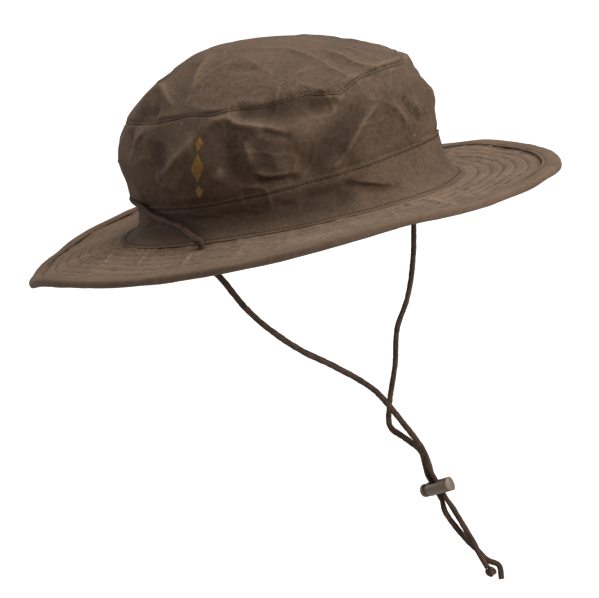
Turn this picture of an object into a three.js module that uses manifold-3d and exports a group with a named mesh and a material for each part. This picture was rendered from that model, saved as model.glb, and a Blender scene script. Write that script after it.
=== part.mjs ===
// A bush hat of waxed cotton: a crown of side, top and band, a quilted brim with a bound edge,
// and a leather chin cord that runs round the back of the crown, down through two holes in the
// brim and into a sprung cord lock under the chin.
//
// Millimetres, +Z up. +X is the front and +Y the wearer's left. The origin is the middle of the
// head opening, level with the brim where it leaves the crown: the place where a head holds it.
import * as THREE from "three";
import { mergeVertices } from "three/addons/utils/BufferGeometryUtils.js";
import Module from "manifold-3d";

// Cloth
const CLOTH = 1.6; // wall of the crown's cloth with its facing
const PLAY = 0.3; // gap that neighbouring pieces keep

// Crown
const CROWN_LENGTH = 205; // outside, front to back, at the brim
const CROWN_WIDTH = 172; // outside, side to side, at the brim
const BAND_HEIGHT = 20;
const BAND_TUCK = 8; // how far the side reaches down inside the band
const CORNER_HEIGHT = 72; // where the side turns into the top
const DOME_RISE = 26; // the top above that corner
const DOME_BACK = 18; // the dome's highest point, back from the middle
const DOME_LEFT = 2; // and to the left of it
const WAIST = 4; // how far the wall leans in at the top of the band
const BELLY = 5.5; // how far the side bows out between band and corner
const TAPER = 9.5; // how far the wall leans in at the corner
const COLLAR = 9.5; // the band's flared foot, lying on the brim
const SEAM_LAP = 4; // the top's edge laps over the side
const LAP_STEP = 2.2; // height in which the side steps in under that edge
const LAP_SHARE = 0.7; // of the lap, that the side reaches up behind the top
const BAND_LIP = 0.6; // from the band's top edge up to where the side steps out over it
const FOLD_WIDTH = 6; // half width of the cloth's folds
const FOLD_DEPTH = 3;
const FOLD_LEGS = 6; // straight legs in which a fold follows the skin
const COLLAR_FLARE = 1.5; // how sharply the band flares out at its foot
const BOW_SHAPE = 1.15; // how late the side's bow starts at the band
const BOW_HIGH = 0.2; // how much of the bow sits above its middle

// Brim
const BRIM_WIDTH = 65.5;
const BRIM_THICK = 2.6;
const BRIM_DROOP = 12;
const CREASE_DEPTH = 1.6; // of the creases that run out across the brim
const CREASE_START = 0.25; // share of the brim's width where they begin
const CREASE_FULL = 0.7; // and where they have their whole depth
const MID_PLACE = 0.55; // share of the width where the brim's middle height is given
const HEAD_MARGIN = 3.5; // the brim's inner edge, inside the wall line
const BINDING_WIDTH = 11;
const BINDING_CLOTH = 1.2;
const BINDING_ROLL = 1; // the binding's round edge beyond its cloth
const ROLL_SHOULDER = 0.6; // how full that round edge is

// Chin cord
const CORD = 3.3;
const CORD_STEP = 11.6; // a straight step of the modelled cord
const HOLE = 4.8; // the brim's two cord holes
const HOLE_OUT = 17.5; // from the wall line
const HOLE_DEGREES = 83; // from the front, to either side
const CORD_JOIN = -8.8; // height where two lengths of the cord meet under the brim
const KNOT_LENGTH = 6;
const KNOT_WIDTH = 5.4;

// Cord lock, a sprung plunger in a barrel
const LOCK_PLACE = new THREE.Vector3(57.1, 6.2, -181.1); // where the cords cross its axis
const LOCK_PITCH = 12.5; // degrees that its closed end is raised
const LOCK_LEAN = 12; // degrees that the cords' way through it leans to the left
const BARREL = 8.5;
const BARREL_LENGTH = 17.5;
const BARREL_END = 1.6; // wall that closes it
const BARREL_RIDGE = 1.3; // height of the two slopes on that end
const BARREL_LIP = 0.4; // rounding of its open end
const LOCK_LEAD = 4.5; // straight cord before and after the barrel
const BORE = 6.2;
const SLOT_PLACE = 6.3; // from the barrel's mouth to the middle of its cord slot
const SLOT_PLAY = 0.3; // between a cord and the slot
const HEAD = 8;
const HEAD_LENGTH = 2.6;
const HEAD_ROUND = 1; // rounding of the plunger's head
const TRAVEL = 1.7; // the plunger's stroke

// Facets
const COLUMNS = 60; // round the hat
const CORD_SIDES = 8;
const LOCK_SIDES = 24;

// The hat's shape round the head, a row every 30 degrees from the front towards the left.
// band, corner: heights, as shares of BAND_HEIGHT and CORNER_HEIGHT.
// waist, belly, taper, collar: shares of those sizes. full: how square the dome's shoulder is.
// edge, mid: the brim's height at its edge and part way out, as shares of BRIM_DROOP.
// width: share of BRIM_WIDTH.
const ROUND = table(
  ["band", "waist", "belly", "corner", "taper", "full", "collar", "edge", "mid", "width"],
  [
    [1.32, 0.88, 0.95, 1.045, 1.15, 2.3, 0.85, -0.34, -0.3, 0.983],
    [1.3, 0.88, 1.05, 1.01, 1.25, 2.2, 0.75, -0.39, -0.25, 0.96],
    [1.15, 0.85, 0.9, 1.01, 0.95, 2.3, 0.8, -0.12, -0.12, 0.98],
    [1.05, 0.85, 1, 1, 0.95, 2.6, 0.95, 0.12, 0, 0.98],
    [1, 1, 1.1, 0.985, 0.95, 3, 1.1, 0.25, 0.05, 0.98],
    [0.98, 1.4, 1.4, 0.98, 0.95, 3.4, 0.9, 0.45, 0.05, 1],
    [0.98, 1.5, 1.6, 0.93, 1.05, 3.1, 0.8, -0.22, -0.14, 1.005],
    [0.98, 1.6, 1.55, 0.97, 1.2, 2.8, 0.9, -1.25, -0.55, 1.03],
    [0.95, 1.1, 1.3, 0.99, 1.2, 2.8, 1.25, -0.5, -0.33, 1.05],
    [0.92, 1, 1.1, 0.985, 0.85, 3, 1.15, -0.64, -0.38, 0.98],
    [1.05, 1, 1, 0.97, 0.85, 2.6, 1, -0.5, -0.34, 0.98],
    [1.18, 1, 0.9, 0.985, 0.95, 2.4, 1, -0.12, -0.2, 1],
  ],
);

// The main folds. Each runs from one place on the crown to another, given as degrees round from
// the front and as a height: 0 the top of the band, 1 the corner, 2 the middle of the dome.
// wide, deep: shares of FOLD_WIDTH and FOLD_DEPTH, with hollows below zero.
const FOLDS = table(
  ["startDegrees", "startUp", "endDegrees", "endUp", "wide", "deep"],
  [
    [224, 1.2, 158, 1.64, 3.3, -1.7],
    [50, 0.85, 20, 0.25, 1.7, -1.5],
    [252, 1.19, 232, 1, 1, 0.8],
    [253, 1.12, 254, 0.96, 1.2, -1.4],
    [276, 1.52, 270, 1.02, 0.9, 0.7],
    [270, 0.86, 236, 0.36, 1, 1],
    [254, 0.82, 244, 0.62, 0.9, -0.8],
    [272, 0.7, 244, 0.3, 1.4, -1],
    [285, 0.92, 310, 0.62, 1, 1],
    [304, 0.9, 320, 0.8, 1.3, -1.4],
    [312, 1.03, 338, 0.78, 1, 1.1],
    [311, 0.54, 330, 0.73, 0.9, 0.7],
    [325, 0.6, 321, 0.38, 1.4, -1.1],
    [344, 0.66, 321, 0.16, 1, 0.8],
    [294, 0.26, 309, 0.17, 0.8, -0.6],
    [356, 0.56, 2, 0.3, 0.8, -0.8],
    [358, 0.95, 22, 0.7, 1, 0.8],
    [280, 1.66, 331, 1.24, 0.9, 0.5],
    [352, 1.52, 356, 1, 1, 0.5],
    [328, -0.3, 342, -0.5, 0.8, -0.5],
    [288, -0.3, 304, -0.45, 0.8, -0.5],
    [95, 0.3, 70, 0.85, 1.5, 0.8],
    [150, 0.8, 120, 0.3, 1.5, -0.8],
    [195, 0.75, 175, 0.3, 1.4, -0.7],
  ],
);

// Creases across the brim: degrees round, half width in degrees, and height as a share of
// CREASE_DEPTH.
const CREASES = table(
  ["degrees", "half", "high"],
  [
    [72, 9, 1],
    [205, 7, 0.9],
    [228, 6, -0.8],
    [344, 8, -0.9],
    [12, 8, 0.6],
  ],
);

// The chin cord's middle line. The part round the crown is given from the right hole, round the
// back, to the left hole.
const CORD_ROUND_CROWN = [
  [9.5, -100.6, 2.7],
  [4.9, -96.8, 3],
  [-2.8, -91.5, 4.2],
  [-10, -87.7, 7.1],
  [-20.5, -84.6, 10.2],
  [-32.5, -81.2, 13.3],
  [-43.9, -76.4, 16.9],
  [-55.3, -69.4, 20],
  [-64.6, -64, 22.2],
  [-75.1, -54, 22.3],
  [-82.2, -45.9, 22],
  [-89.3, -36.1, 22.5],
  [-96.4, -21.4, 23],
  [-100.3, 0, 23],
  [-97.3, 20.2, 23],
  [-89.7, 36.3, 22.5],
  [-83, 46.5, 22],
  [-73.6, 57.2, 21.5],
  [-61.9, 65.9, 20],
  [-49.1, 73.9, 17.5],
  [-36.7, 80, 14.5],
  [-25, 84.2, 11.8],
  [-12.7, 87.6, 9.2],
  [-3.7, 89.9, 7.2],
  [3.7, 91.6, 5.9],
  [9.2, 96.8, 4.6],
];
const CORD_RIGHT = [
  [18.4, -98.9, -19.1],
  [24, -88.3, -42],
  [28.2, -77.1, -57.8],
  [34, -60.5, -75.5],
  [40.2, -42.7, -90.4],
  [48.4, -22.1, -111.2],
  [52.2, -7.8, -134.9],
  [56, 2.2, -157.2],
];
const CORD_RIGHT_TAIL = [
  [63, 9.3, -195.3],
  [70.6, 10, -213.9],
  [76.7, 10.7, -230.6],
  [78, 11, -233.4],
];
const CORD_LEFT = [
  [12.8, 102.2, -22],
  [10.8, 99.4, -39.4],
  [8.8, 94.5, -59.3],
  [7, 82.5, -81.8],
  [5.8, 67.2, -97.4],
  [10.5, 50.9, -116.9],
  [15.7, 31, -135.5],
  [21.9, 19.1, -146.7],
  [34.4, 14.9, -152.7],
  [46.7, 11.5, -160.3],
];
const CORD_LEFT_TAIL = [
  [58.1, 7.9, -197.6],
  [65, 12.6, -215.5],
  [70.3, 15.4, -224.6],
  [74.3, 16.9, -230.8],
  [80, 19.5, -235],
  [81, 18, -243.2],
];

const COLOURS = {
  cloth: new THREE.Color(0x54463a),
  brim: new THREE.Color(0x5d4d40),
  binding: new THREE.Color(0x57473b),
  cord: new THREE.Color(0x44332a),
  lock: new THREE.Color(0x6a5c50),
};

const wasm = await Module();
wasm.setup();

// Rows of numbers under named columns.
function table(columns, rows) {
  return rows.map((row) => Object.fromEntries(columns.map((name, i) => [name, row[i]])));
}

const radians = THREE.MathUtils.degToRad;

// A column of ROUND at an angle, by a smooth curve through its rows.
function around(column, angle) {
  const turn = ((angle / (2 * Math.PI)) % 1) + 1;
  const place = (turn % 1) * ROUND.length;
  const first = Math.floor(place);
  const f = place - first;
  const [a, b, c, d] = [-1, 0, 1, 2].map(
    (k) => ROUND[(first + k + ROUND.length) % ROUND.length][column],
  );
  return b + 0.5 * f * (c - a + f * (2 * a - 5 * b + 4 * c - d + f * (3 * (b - c) + d - a)));
}

// A point at a distance outside the crown's wall line, seen from above.
function plan(angle, out) {
  const length = CROWN_LENGTH / 2;
  const width = CROWN_WIDTH / 2;
  const c = Math.cos(angle);
  const s = Math.sin(angle);
  const scale = out / Math.hypot(width * c, length * s);
  return new THREE.Vector2(length * c + scale * width * c, width * s + scale * length * s);
}

// Height of the brim's upper face at a distance outside the wall line.
function brimHeight(angle, out) {
  const share = out / (BRIM_WIDTH * around("width", angle));
  const edge = BRIM_DROOP * around("edge", angle);
  const mid = BRIM_DROOP * around("mid", angle);
  const slope = (mid - edge * MID_PLACE ** 2) / (MID_PLACE - MID_PLACE ** 2);
  const fade = THREE.MathUtils.smoothstep(share, CREASE_START, CREASE_FULL);
  return slope * share + (edge - slope) * share * share + fade * creaseHeight(angle);
}

function creaseHeight(angle) {
  const degrees = THREE.MathUtils.radToDeg(angle);
  return CREASES.reduce((sum, crease) => {
    const away = THREE.MathUtils.euclideanModulo(degrees - crease.degrees + 180, 360) - 180;
    return sum + CREASE_DEPTH * crease.high * Math.exp(-((away / crease.half) ** 2));
  }, 0);
}

// The crown's outer face without its folds. up is -1 at the collar's edge, 0 at the top of the
// band, 1 at the corner and 2 at the middle of the dome.
function smoothSkin(angle, up) {
  const waist = WAIST * around("waist", angle);
  const taper = TAPER * around("taper", angle);
  const bandTop = BAND_HEIGHT * around("band", angle);
  const corner = CORNER_HEIGHT * around("corner", angle);
  if (up < 0) {
    const collar = COLLAR * around("collar", angle);
    const foot = brimHeight(angle, collar) + PLAY + CLOTH;
    const climb = up + 1;
    const { x, y } = plan(angle, (collar + waist) * (1 - climb) ** COLLAR_FLARE - waist);
    return new THREE.Vector3(x, y, foot + (bandTop - foot) * climb * climb);
  }
  if (up <= 1) {
    const bow = Math.sin(Math.PI * up) ** BOW_SHAPE * (1 + BOW_HIGH * (2 * up - 1));
    const out = -waist + (waist - taper) * up + BELLY * around("belly", angle) * bow;
    const { x, y } = plan(angle, out);
    return new THREE.Vector3(x, y, bandTop + (corner - bandTop) * up);
  }
  const reach = 2 - up;
  const rim = plan(angle, -taper);
  const rise = CORNER_HEIGHT + DOME_RISE - corner;
  return new THREE.Vector3(
    -DOME_BACK * (1 - reach) + rim.x * reach,
    DOME_LEFT * (1 - reach) + rim.y * reach,
    corner + rise * (1 - reach ** around("full", angle)),
  );
}

// Each fold as a short chain of points on the smooth skin.
const FOLD_LINES = FOLDS.map((fold) => {
  const acrossFront = fold.endDegrees < fold.startDegrees - 180;
  const endDegrees = fold.endDegrees + (acrossFront ? 360 : 0);
  return Array.from({ length: FOLD_LEGS + 1 }, (_, i) => {
    const degrees = THREE.MathUtils.lerp(fold.startDegrees, endDegrees, i / FOLD_LEGS);
    const up = THREE.MathUtils.lerp(fold.startUp, fold.endUp, i / FOLD_LEGS);
    return smoothSkin(radians(degrees), up);
  });
});

// How far the folds move the skin outwards at a point.
function foldShift(point) {
  const near = new THREE.Vector3();
  return FOLDS.reduce((sum, fold, i) => {
    const points = FOLD_LINES[i];
    let least = Infinity;
    let along = 0;
    for (let k = 0; k + 1 < points.length; k++) {
      const leg = new THREE.Line3(points[k], points[k + 1]);
      const share = leg.closestPointToPointParameter(point, true);
      const distance = leg.at(share, near).distanceTo(point);
      if (distance < least) {
        least = distance;
        along = (k + share) / (points.length - 1);
      }
    }
    const runOut = 1 - (2 * along - 1) ** 4;
    const away = least / (FOLD_WIDTH * fold.wide);
    return sum + FOLD_DEPTH * fold.deep * runOut * Math.exp(-(away ** 2));
  }, 0);
}

// The direction straight out of the smooth skin, from two short ways along it.
function skinNormal(angle, up) {
  const turn = 0.01;
  const rise = 0.02;
  if (up === 2) return new THREE.Vector3(0, 0, 1);
  const aside = smoothSkin(angle + turn, up).sub(smoothSkin(angle - turn, up));
  const above = smoothSkin(angle, up + rise).sub(smoothSkin(angle, Math.max(up - rise, -1)));
  return aside.cross(above).normalize();
}

// A point of the crown's folded skin, moved in from its outer face.
function crownPoint(angle, up, inset) {
  const point = smoothSkin(angle, up);
  const core = new THREE.Vector3(0, 0, CORNER_HEIGHT / 2);
  const outward = point.clone().sub(core).normalize();
  return point
    .clone()
    .addScaledVector(outward, foldShift(point))
    .addScaledVector(skinNormal(angle, up), -inset);
}

// Whether a section goes up or inwards between two of its points. Facets are split by it, so that
// faces that lie one on the other have their diagonals the same way.
function climbs(here, next) {
  return next.z - here.z > Math.hypot(next.x, next.y) - Math.hypot(here.x, here.y);
}

// A closed body swept round the hat. sectionAt gives the ring of section points at an angle. With
// poles, its first and last points lie on one axis and stand for all angles.
function sweptRound(sectionAt, poles = false) {
  const step = (2 * Math.PI) / COLUMNS;
  const sections = Array.from({ length: COLUMNS }, (_, i) => sectionAt(i * step));
  const size = sections[0].length;
  const vertices = sections.flat().flatMap((point) => point.toArray());
  const index = (column, row) => {
    const onPole = poles && (row === 0 || row === size - 1);
    return (onPole ? 0 : column % COLUMNS) * size + (row % size);
  };
  const faces = [];
  for (let row = 0; row < (poles ? size - 1 : size); row++) {
    const sameDiagonal = climbs(sections[0][row], sections[0][(row + 1) % size]);
    for (let column = 0; column < COLUMNS; column++) {
      const a = index(column, row);
      const b = index(column + 1, row);
      const c = index(column + 1, row + 1);
      const d = index(column, row + 1);
      if (a === b) faces.push(a, c, d);
      else if (c === d) faces.push(a, b, c);
      else if (sameDiagonal) faces.push(a, b, c, a, c, d);
      else faces.push(a, b, d, b, c, d);
    }
  }
  const geometry = new THREE.BufferGeometry();
  geometry.setAttribute("position", new THREE.Float32BufferAttribute(vertices, 3));
  geometry.setIndex(faces);
  return geometry;
}

// Outer rows from the bottom up, then the inner ones from the top down. A row is [up, inset].
function wallSection(rows, angle) {
  const outer = rows.map(([up, inset]) => crownPoint(angle, up, inset));
  const inner = rows.map(([up, inset]) => crownPoint(angle, up, inset + CLOTH));
  return [...outer, ...inner.reverse()];
}

function crownBand() {
  const ups = [-1, -0.88, -0.72, -0.52, -0.27, 0];
  return sweptRound((angle) => wallSection(ups.map((up) => [up, 0]), angle));
}

// Height of the side from the band to the corner, to turn lengths into shares of it.
function sideHeight(angle) {
  return CORNER_HEIGHT * around("corner", angle) - BAND_HEIGHT * around("band", angle);
}

// The side starts inside the band, steps out over it, and ends inside the top's lapped edge.
function crownSide() {
  const behind = CLOTH + PLAY;
  const ups = [0.07, 0.19, 0.31, 0.43, 0.55, 0.67, 0.78];
  return sweptRound((angle) => {
    const height = sideHeight(angle);
    const tuck = Math.sqrt(1 - BAND_TUCK / (BAND_HEIGHT * around("band", angle))) - 1;
    const rows = [
      [tuck, behind],
      [BAND_LIP / height, behind],
      ...ups.map((up) => [up, 0]),
      [1 - (SEAM_LAP + LAP_STEP) / height, 0],
      ...lapRows(angle).map((up) => [up, behind]),
    ];
    return wallSection(rows, angle);
  });
}

// Where the side and the top lie one inside the other, from the top's edge up.
function lapRows(angle) {
  const lap = SEAM_LAP / sideHeight(angle);
  return [1 - lap, 1 - lap * (1 - LAP_SHARE)];
}

// The top, a dome whose edge turns down over the side.
function crownTop() {
  const ups = [1.03, 1.1, 1.2, 1.33, 1.48, 1.64, 1.82];
  return sweptRound((angle) => {
    const rows = [...lapRows(angle), ...ups].map((up) => [up, 0]);
    const wall = wallSection(rows, angle);
    const half = wall.length / 2;
    return [
      crownPoint(0, 2, CLOTH),
      ...wall.slice(half),
      ...wall.slice(0, half),
      crownPoint(0, 2, 0),
    ];
  }, true);
}

// A point of the brim, lifted from its upper face.
function brimPoint(angle, out, lift) {
  const { x, y } = plan(angle, out);
  return new THREE.Vector3(x, y, brimHeight(angle, out) + lift);
}

// The brim's own edge lies inside the binding's fold.
function brimEdge(angle) {
  return BRIM_WIDTH * around("width", angle) - BINDING_ROLL - BINDING_CLOTH - PLAY;
}

function brimSheet() {
  const shares = [1, 0.82, 0.62, 0.42, 0.24, 0.1, 0];
  return sweptRound((angle) => {
    const edge = brimEdge(angle);
    const outs = shares.map((share) => THREE.MathUtils.lerp(-HEAD_MARGIN, edge, share));
    const upper = outs.map((out) => brimPoint(angle, out, 0));
    const lower = outs.map((out) => brimPoint(angle, out, -BRIM_THICK));
    return [...upper, ...lower.reverse()];
  });
}

// The brim with a hole on each side for the cord.
function brim() {
  const sheet = toSolid(brimSheet());
  return toGeometry(holeCutters().reduce((solid, cutter) => solid.subtract(cutter), sheet));
}

function holeCutters() {
  return [-1, 1].map((side) => {
    const drill = new THREE.CylinderGeometry(HOLE / 2, HOLE / 2, 6 * BRIM_THICK, 12);
    drill.rotateX(Math.PI / 2);
    const { x, y } = plan(side * radians(HOLE_DEGREES), HOLE_OUT);
    drill.translate(x, y, -BRIM_THICK / 2);
    return toSolid(drill);
  });
}

// The binding folds round the brim's edge, from under it to above it.
function brimBinding() {
  return sweptRound((angle) => {
    const edge = brimEdge(angle);
    const inner = edge + PLAY;
    const outer = inner + BINDING_CLOTH;
    const flange = outer + BINDING_ROLL - BINDING_WIDTH;
    const under = -BRIM_THICK - PLAY;
    const middle = -BRIM_THICK / 2;
    const skin = [
      [flange, under - BINDING_CLOTH],
      [outer - BINDING_CLOTH, under - BINDING_CLOTH],
      [outer + BINDING_ROLL * ROLL_SHOULDER, under],
      [outer + BINDING_ROLL, middle],
      [outer + BINDING_ROLL * ROLL_SHOULDER, PLAY],
      [outer - BINDING_CLOTH, PLAY + BINDING_CLOTH],
      [flange, PLAY + BINDING_CLOTH],
    ];
    const fold = [
      [flange, PLAY],
      [inner, PLAY],
      [inner, under],
      [flange, under],
    ];
    return [...skin, ...fold].map(([out, lift]) => brimPoint(angle, out, lift));
  });
}

// The lock's frame: X along its barrel, towards the closed end, and the cords come down its Z.
const lock = new THREE.Group();
lock.position.copy(LOCK_PLACE);
lock.rotation.set(radians(LOCK_LEAN), -radians(LOCK_PITCH), 0, "YXZ");
lock.updateMatrixWorld(true);

const CORD_PITCH = CORD + PLAY; // between the two cords' middle lines in the lock
const SLOT_LENGTH = CORD_PITCH + CORD + 2 * SLOT_PLAY;
const SLOT_WIDTH = CORD + 2 * SLOT_PLAY;

// A cord's straight way through the lock. side is -1 by the plunger's head, 1 by the closed end.
function waysThroughLock(side) {
  const along = (side * CORD_PITCH) / 2;
  const far = BARREL / 2 + LOCK_LEAD;
  const near = (BARREL + CORD) / 2;
  return [far, near, -near, -far].map((height) =>
    lock.localToWorld(new THREE.Vector3(along, 0, height)),
  );
}

// A tube along a smooth curve through points.
function cordTube(points) {
  const curve = new THREE.CatmullRomCurve3(points, false, "centripetal");
  const section = new THREE.Shape();
  for (let i = 0; i < CORD_SIDES; i++) {
    const angle = (2 * Math.PI * (i + 0.5)) / CORD_SIDES;
    const x = (CORD / 2) * Math.cos(angle);
    const y = (CORD / 2) * Math.sin(angle);
    if (i === 0) section.moveTo(x, y);
    else section.lineTo(x, y);
  }
  const steps = Math.round(curve.getLength() / CORD_STEP);
  return new THREE.ExtrudeGeometry(section, { steps, extrudePath: curve, bevelEnabled: false });
}

function vectors(points) {
  return points.map((point) => new THREE.Vector3(...point));
}

// The middle of a brim hole at a height. side is -1 on the right and 1 on the left.
function holePoint(side, height) {
  const { x, y } = plan(side * radians(HOLE_DEGREES), HOLE_OUT);
  return new THREE.Vector3(x, y, height);
}

// The first points of a length that hangs straight down from a hole.
function straightStart(side) {
  return [CORD_JOIN - PLAY / 2, CORD_JOIN - CORD].map((height) => holePoint(side, height));
}

function cordRoundCrown() {
  const heights = [CORD_JOIN + PLAY / 2, -BRIM_THICK, CORD / 2];
  const right = heights.map((height) => holePoint(-1, height));
  const left = heights.map((height) => holePoint(1, height)).reverse();
  return cordTube([...right, ...vectors(CORD_ROUND_CROWN), ...left]);
}

function cordRight() {
  return cordTube([
    ...straightStart(-1),
    ...vectors(CORD_RIGHT),
    ...waysThroughLock(1),
    ...vectors(CORD_RIGHT_TAIL),
  ]);
}

function cordLeft() {
  return cordTube([
    ...straightStart(1),
    ...vectors(CORD_LEFT),
    ...waysThroughLock(-1),
    ...vectors(CORD_LEFT_TAIL),
  ]);
}

// The knot that ends the right length of the cord.
function cordKnot() {
  const [before, end] = vectors(CORD_RIGHT_TAIL).slice(-2);
  const along = end.clone().sub(before).normalize();
  const turn = new THREE.Quaternion().setFromUnitVectors(new THREE.Vector3(0, 1, 0), along);
  const knot = new THREE.SphereGeometry(0.5, 12, 8);
  knot.scale(KNOT_WIDTH, KNOT_LENGTH, KNOT_WIDTH);
  knot.applyQuaternion(turn);
  const middle = end.addScaledVector(along, KNOT_LENGTH / 2 + PLAY);
  return knot.translate(middle.x, middle.y, middle.z);
}

// A body turned about the lock's X axis, from a profile of [radius, place along the axis].
function turned(profile) {
  const points = profile.map(([radius, along]) => new THREE.Vector2(radius, along));
  return new THREE.LatheGeometry(points, LOCK_SIDES).rotateZ(-Math.PI / 2);
}

// A slot with round ends through the lock, from one place along its axis to another.
function slotCutter(from, to) {
  const radius = SLOT_WIDTH / 2;
  const quarter = Math.PI / 2;
  const outline = new THREE.Shape();
  outline.absarc(to - radius, 0, radius, -quarter, quarter, false);
  outline.absarc(from + radius, 0, radius, quarter, 3 * quarter, false);
  const depth = 2 * BARREL;
  const options = { depth, bevelEnabled: false, curveSegments: LOCK_SIDES / 4 };
  const slot = new THREE.ExtrudeGeometry(outline, options);
  return toSolid(slot.translate(0, 0, -depth / 2));
}

// The barrel, open at its mouth, with two slopes on its closed end.
function lockBarrel() {
  const mouth = -SLOT_PLACE;
  const end = mouth + BARREL_LENGTH;
  const body = turned([
    [0, end - BARREL_END],
    [BORE / 2, end - BARREL_END],
    [BORE / 2, mouth],
    [BARREL / 2 - BARREL_LIP, mouth],
    [BARREL / 2, mouth + BARREL_LIP],
    [BARREL / 2, end],
    [0, end],
  ]);
  const eaves = end - 2 * BARREL_RIDGE;
  const roof = new THREE.Shape([
    new THREE.Vector2(mouth - BARREL, -BARREL),
    new THREE.Vector2(eaves, -BARREL),
    new THREE.Vector2(end, 0),
    new THREE.Vector2(eaves, BARREL),
    new THREE.Vector2(mouth - BARREL, BARREL),
  ]);
  const ridge = new THREE.ExtrudeGeometry(roof, { depth: 2 * BARREL, bevelEnabled: false });
  ridge.translate(0, 0, -BARREL);
  const slot = slotCutter(-SLOT_LENGTH / 2, SLOT_LENGTH / 2);
  return toGeometry(toSolid(body).intersect(toSolid(ridge)).subtract(slot));
}

// The plunger at rest, its slot held against the cords by the spring, with its stroke free.
function lockPlunger() {
  const stem = BORE / 2 - PLAY;
  const shoulder = -SLOT_PLACE - TRAVEL - PLAY;
  const head = shoulder - HEAD_LENGTH;
  const tip = -SLOT_PLACE + BARREL_LENGTH - BARREL_END - TRAVEL - PLAY;
  const body = turned([
    [0, head],
    [HEAD / 2 - HEAD_ROUND, head],
    [HEAD / 2 - 0.3 * HEAD_ROUND, head + 0.3 * HEAD_ROUND],
    [HEAD / 2, head + HEAD_ROUND],
    [HEAD / 2, shoulder],
    [stem, shoulder],
    [stem, tip],
    [0, tip],
  ]);
  const slot = slotCutter(-SLOT_LENGTH / 2 - TRAVEL, SLOT_LENGTH / 2);
  return toGeometry(toSolid(body).subtract(slot));
}

function toSolid(geometry) {
  const plain = geometry.index ? geometry.toNonIndexed() : geometry.clone();
  plain.deleteAttribute("normal");
  plain.deleteAttribute("uv");
  const merged = mergeVertices(plain, 1e-4);
  return new wasm.Manifold(
    new wasm.Mesh({
      numProp: 3,
      vertProperties: merged.attributes.position.array,
      triVerts: new Uint32Array(merged.index.array),
    }),
  );
}

function toGeometry(solid) {
  const mesh = solid.getMesh();
  const geometry = new THREE.BufferGeometry();
  geometry.setAttribute("position", new THREE.BufferAttribute(mesh.vertProperties, 3));
  geometry.setIndex(new THREE.BufferAttribute(mesh.triVerts, 1));
  return geometry;
}

function piece(name, geometry, color, roughness) {
  geometry.computeVertexNormals();
  const material = new THREE.MeshStandardMaterial({ color, roughness, metalness: 0 });
  const mesh = new THREE.Mesh(geometry, material);
  mesh.name = name;
  return mesh;
}

const hat = new THREE.Group();
hat.add(
  piece("crown_side", crownSide(), COLOURS.cloth, 0.85),
  piece("crown_top", crownTop(), COLOURS.cloth, 0.85),
  piece("crown_band", crownBand(), COLOURS.cloth, 0.85),
  piece("brim", brim(), COLOURS.brim, 0.85),
  piece("brim_binding", brimBinding(), COLOURS.binding, 0.85),
  piece("chin_cord_round_crown", cordRoundCrown(), COLOURS.cord, 0.8),
  piece("chin_cord_right", cordRight(), COLOURS.cord, 0.8),
  piece("chin_cord_left", cordLeft(), COLOURS.cord, 0.8),
  piece("chin_cord_knot", cordKnot(), COLOURS.cord, 0.8),
);
lock.add(
  piece("cord_lock_barrel", lockBarrel(), COLOURS.lock, 0.5),
  piece("cord_lock_plunger", lockPlunger(), COLOURS.lock, 0.5),
);
hat.add(lock);

export default hat;
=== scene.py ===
"""A bush hat of waxed cotton with a leather chin cord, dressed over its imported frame.

Metres, +Z up. +X is the front and +Y the wearer's left. The origin is the middle of the head
opening, level with the brim where it leaves the crown.
"""

from __future__ import annotations
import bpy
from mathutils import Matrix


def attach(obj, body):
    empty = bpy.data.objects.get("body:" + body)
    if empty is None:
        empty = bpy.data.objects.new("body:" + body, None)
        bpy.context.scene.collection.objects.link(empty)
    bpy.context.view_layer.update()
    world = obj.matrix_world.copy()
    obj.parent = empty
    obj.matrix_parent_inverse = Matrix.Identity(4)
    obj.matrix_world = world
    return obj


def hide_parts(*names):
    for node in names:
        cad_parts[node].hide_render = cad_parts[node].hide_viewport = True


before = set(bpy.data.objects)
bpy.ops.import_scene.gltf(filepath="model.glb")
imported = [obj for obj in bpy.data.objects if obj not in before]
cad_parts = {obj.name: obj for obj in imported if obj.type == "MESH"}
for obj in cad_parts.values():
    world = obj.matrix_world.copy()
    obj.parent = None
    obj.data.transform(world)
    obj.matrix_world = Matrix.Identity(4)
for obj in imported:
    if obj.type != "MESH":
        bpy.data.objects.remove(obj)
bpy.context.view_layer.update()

import logging
import math
from dataclasses import dataclass
from enum import Enum
from functools import cached_property
from itertools import product

import bmesh
import bpy
import numpy as np
from mathutils import Matrix, Vector

LOG = logging.getLogger("bush_hat")
MM = 0.001
Array = np.ndarray
Colour = tuple[float, float, float, float]
Point = tuple[float, float, float]
Mesh, Piece, Material = bpy.types.Mesh, bpy.types.Object, bpy.types.Material
Node, Socket, Tree = bpy.types.Node, bpy.types.NodeSocket, bpy.types.NodeTree

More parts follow.
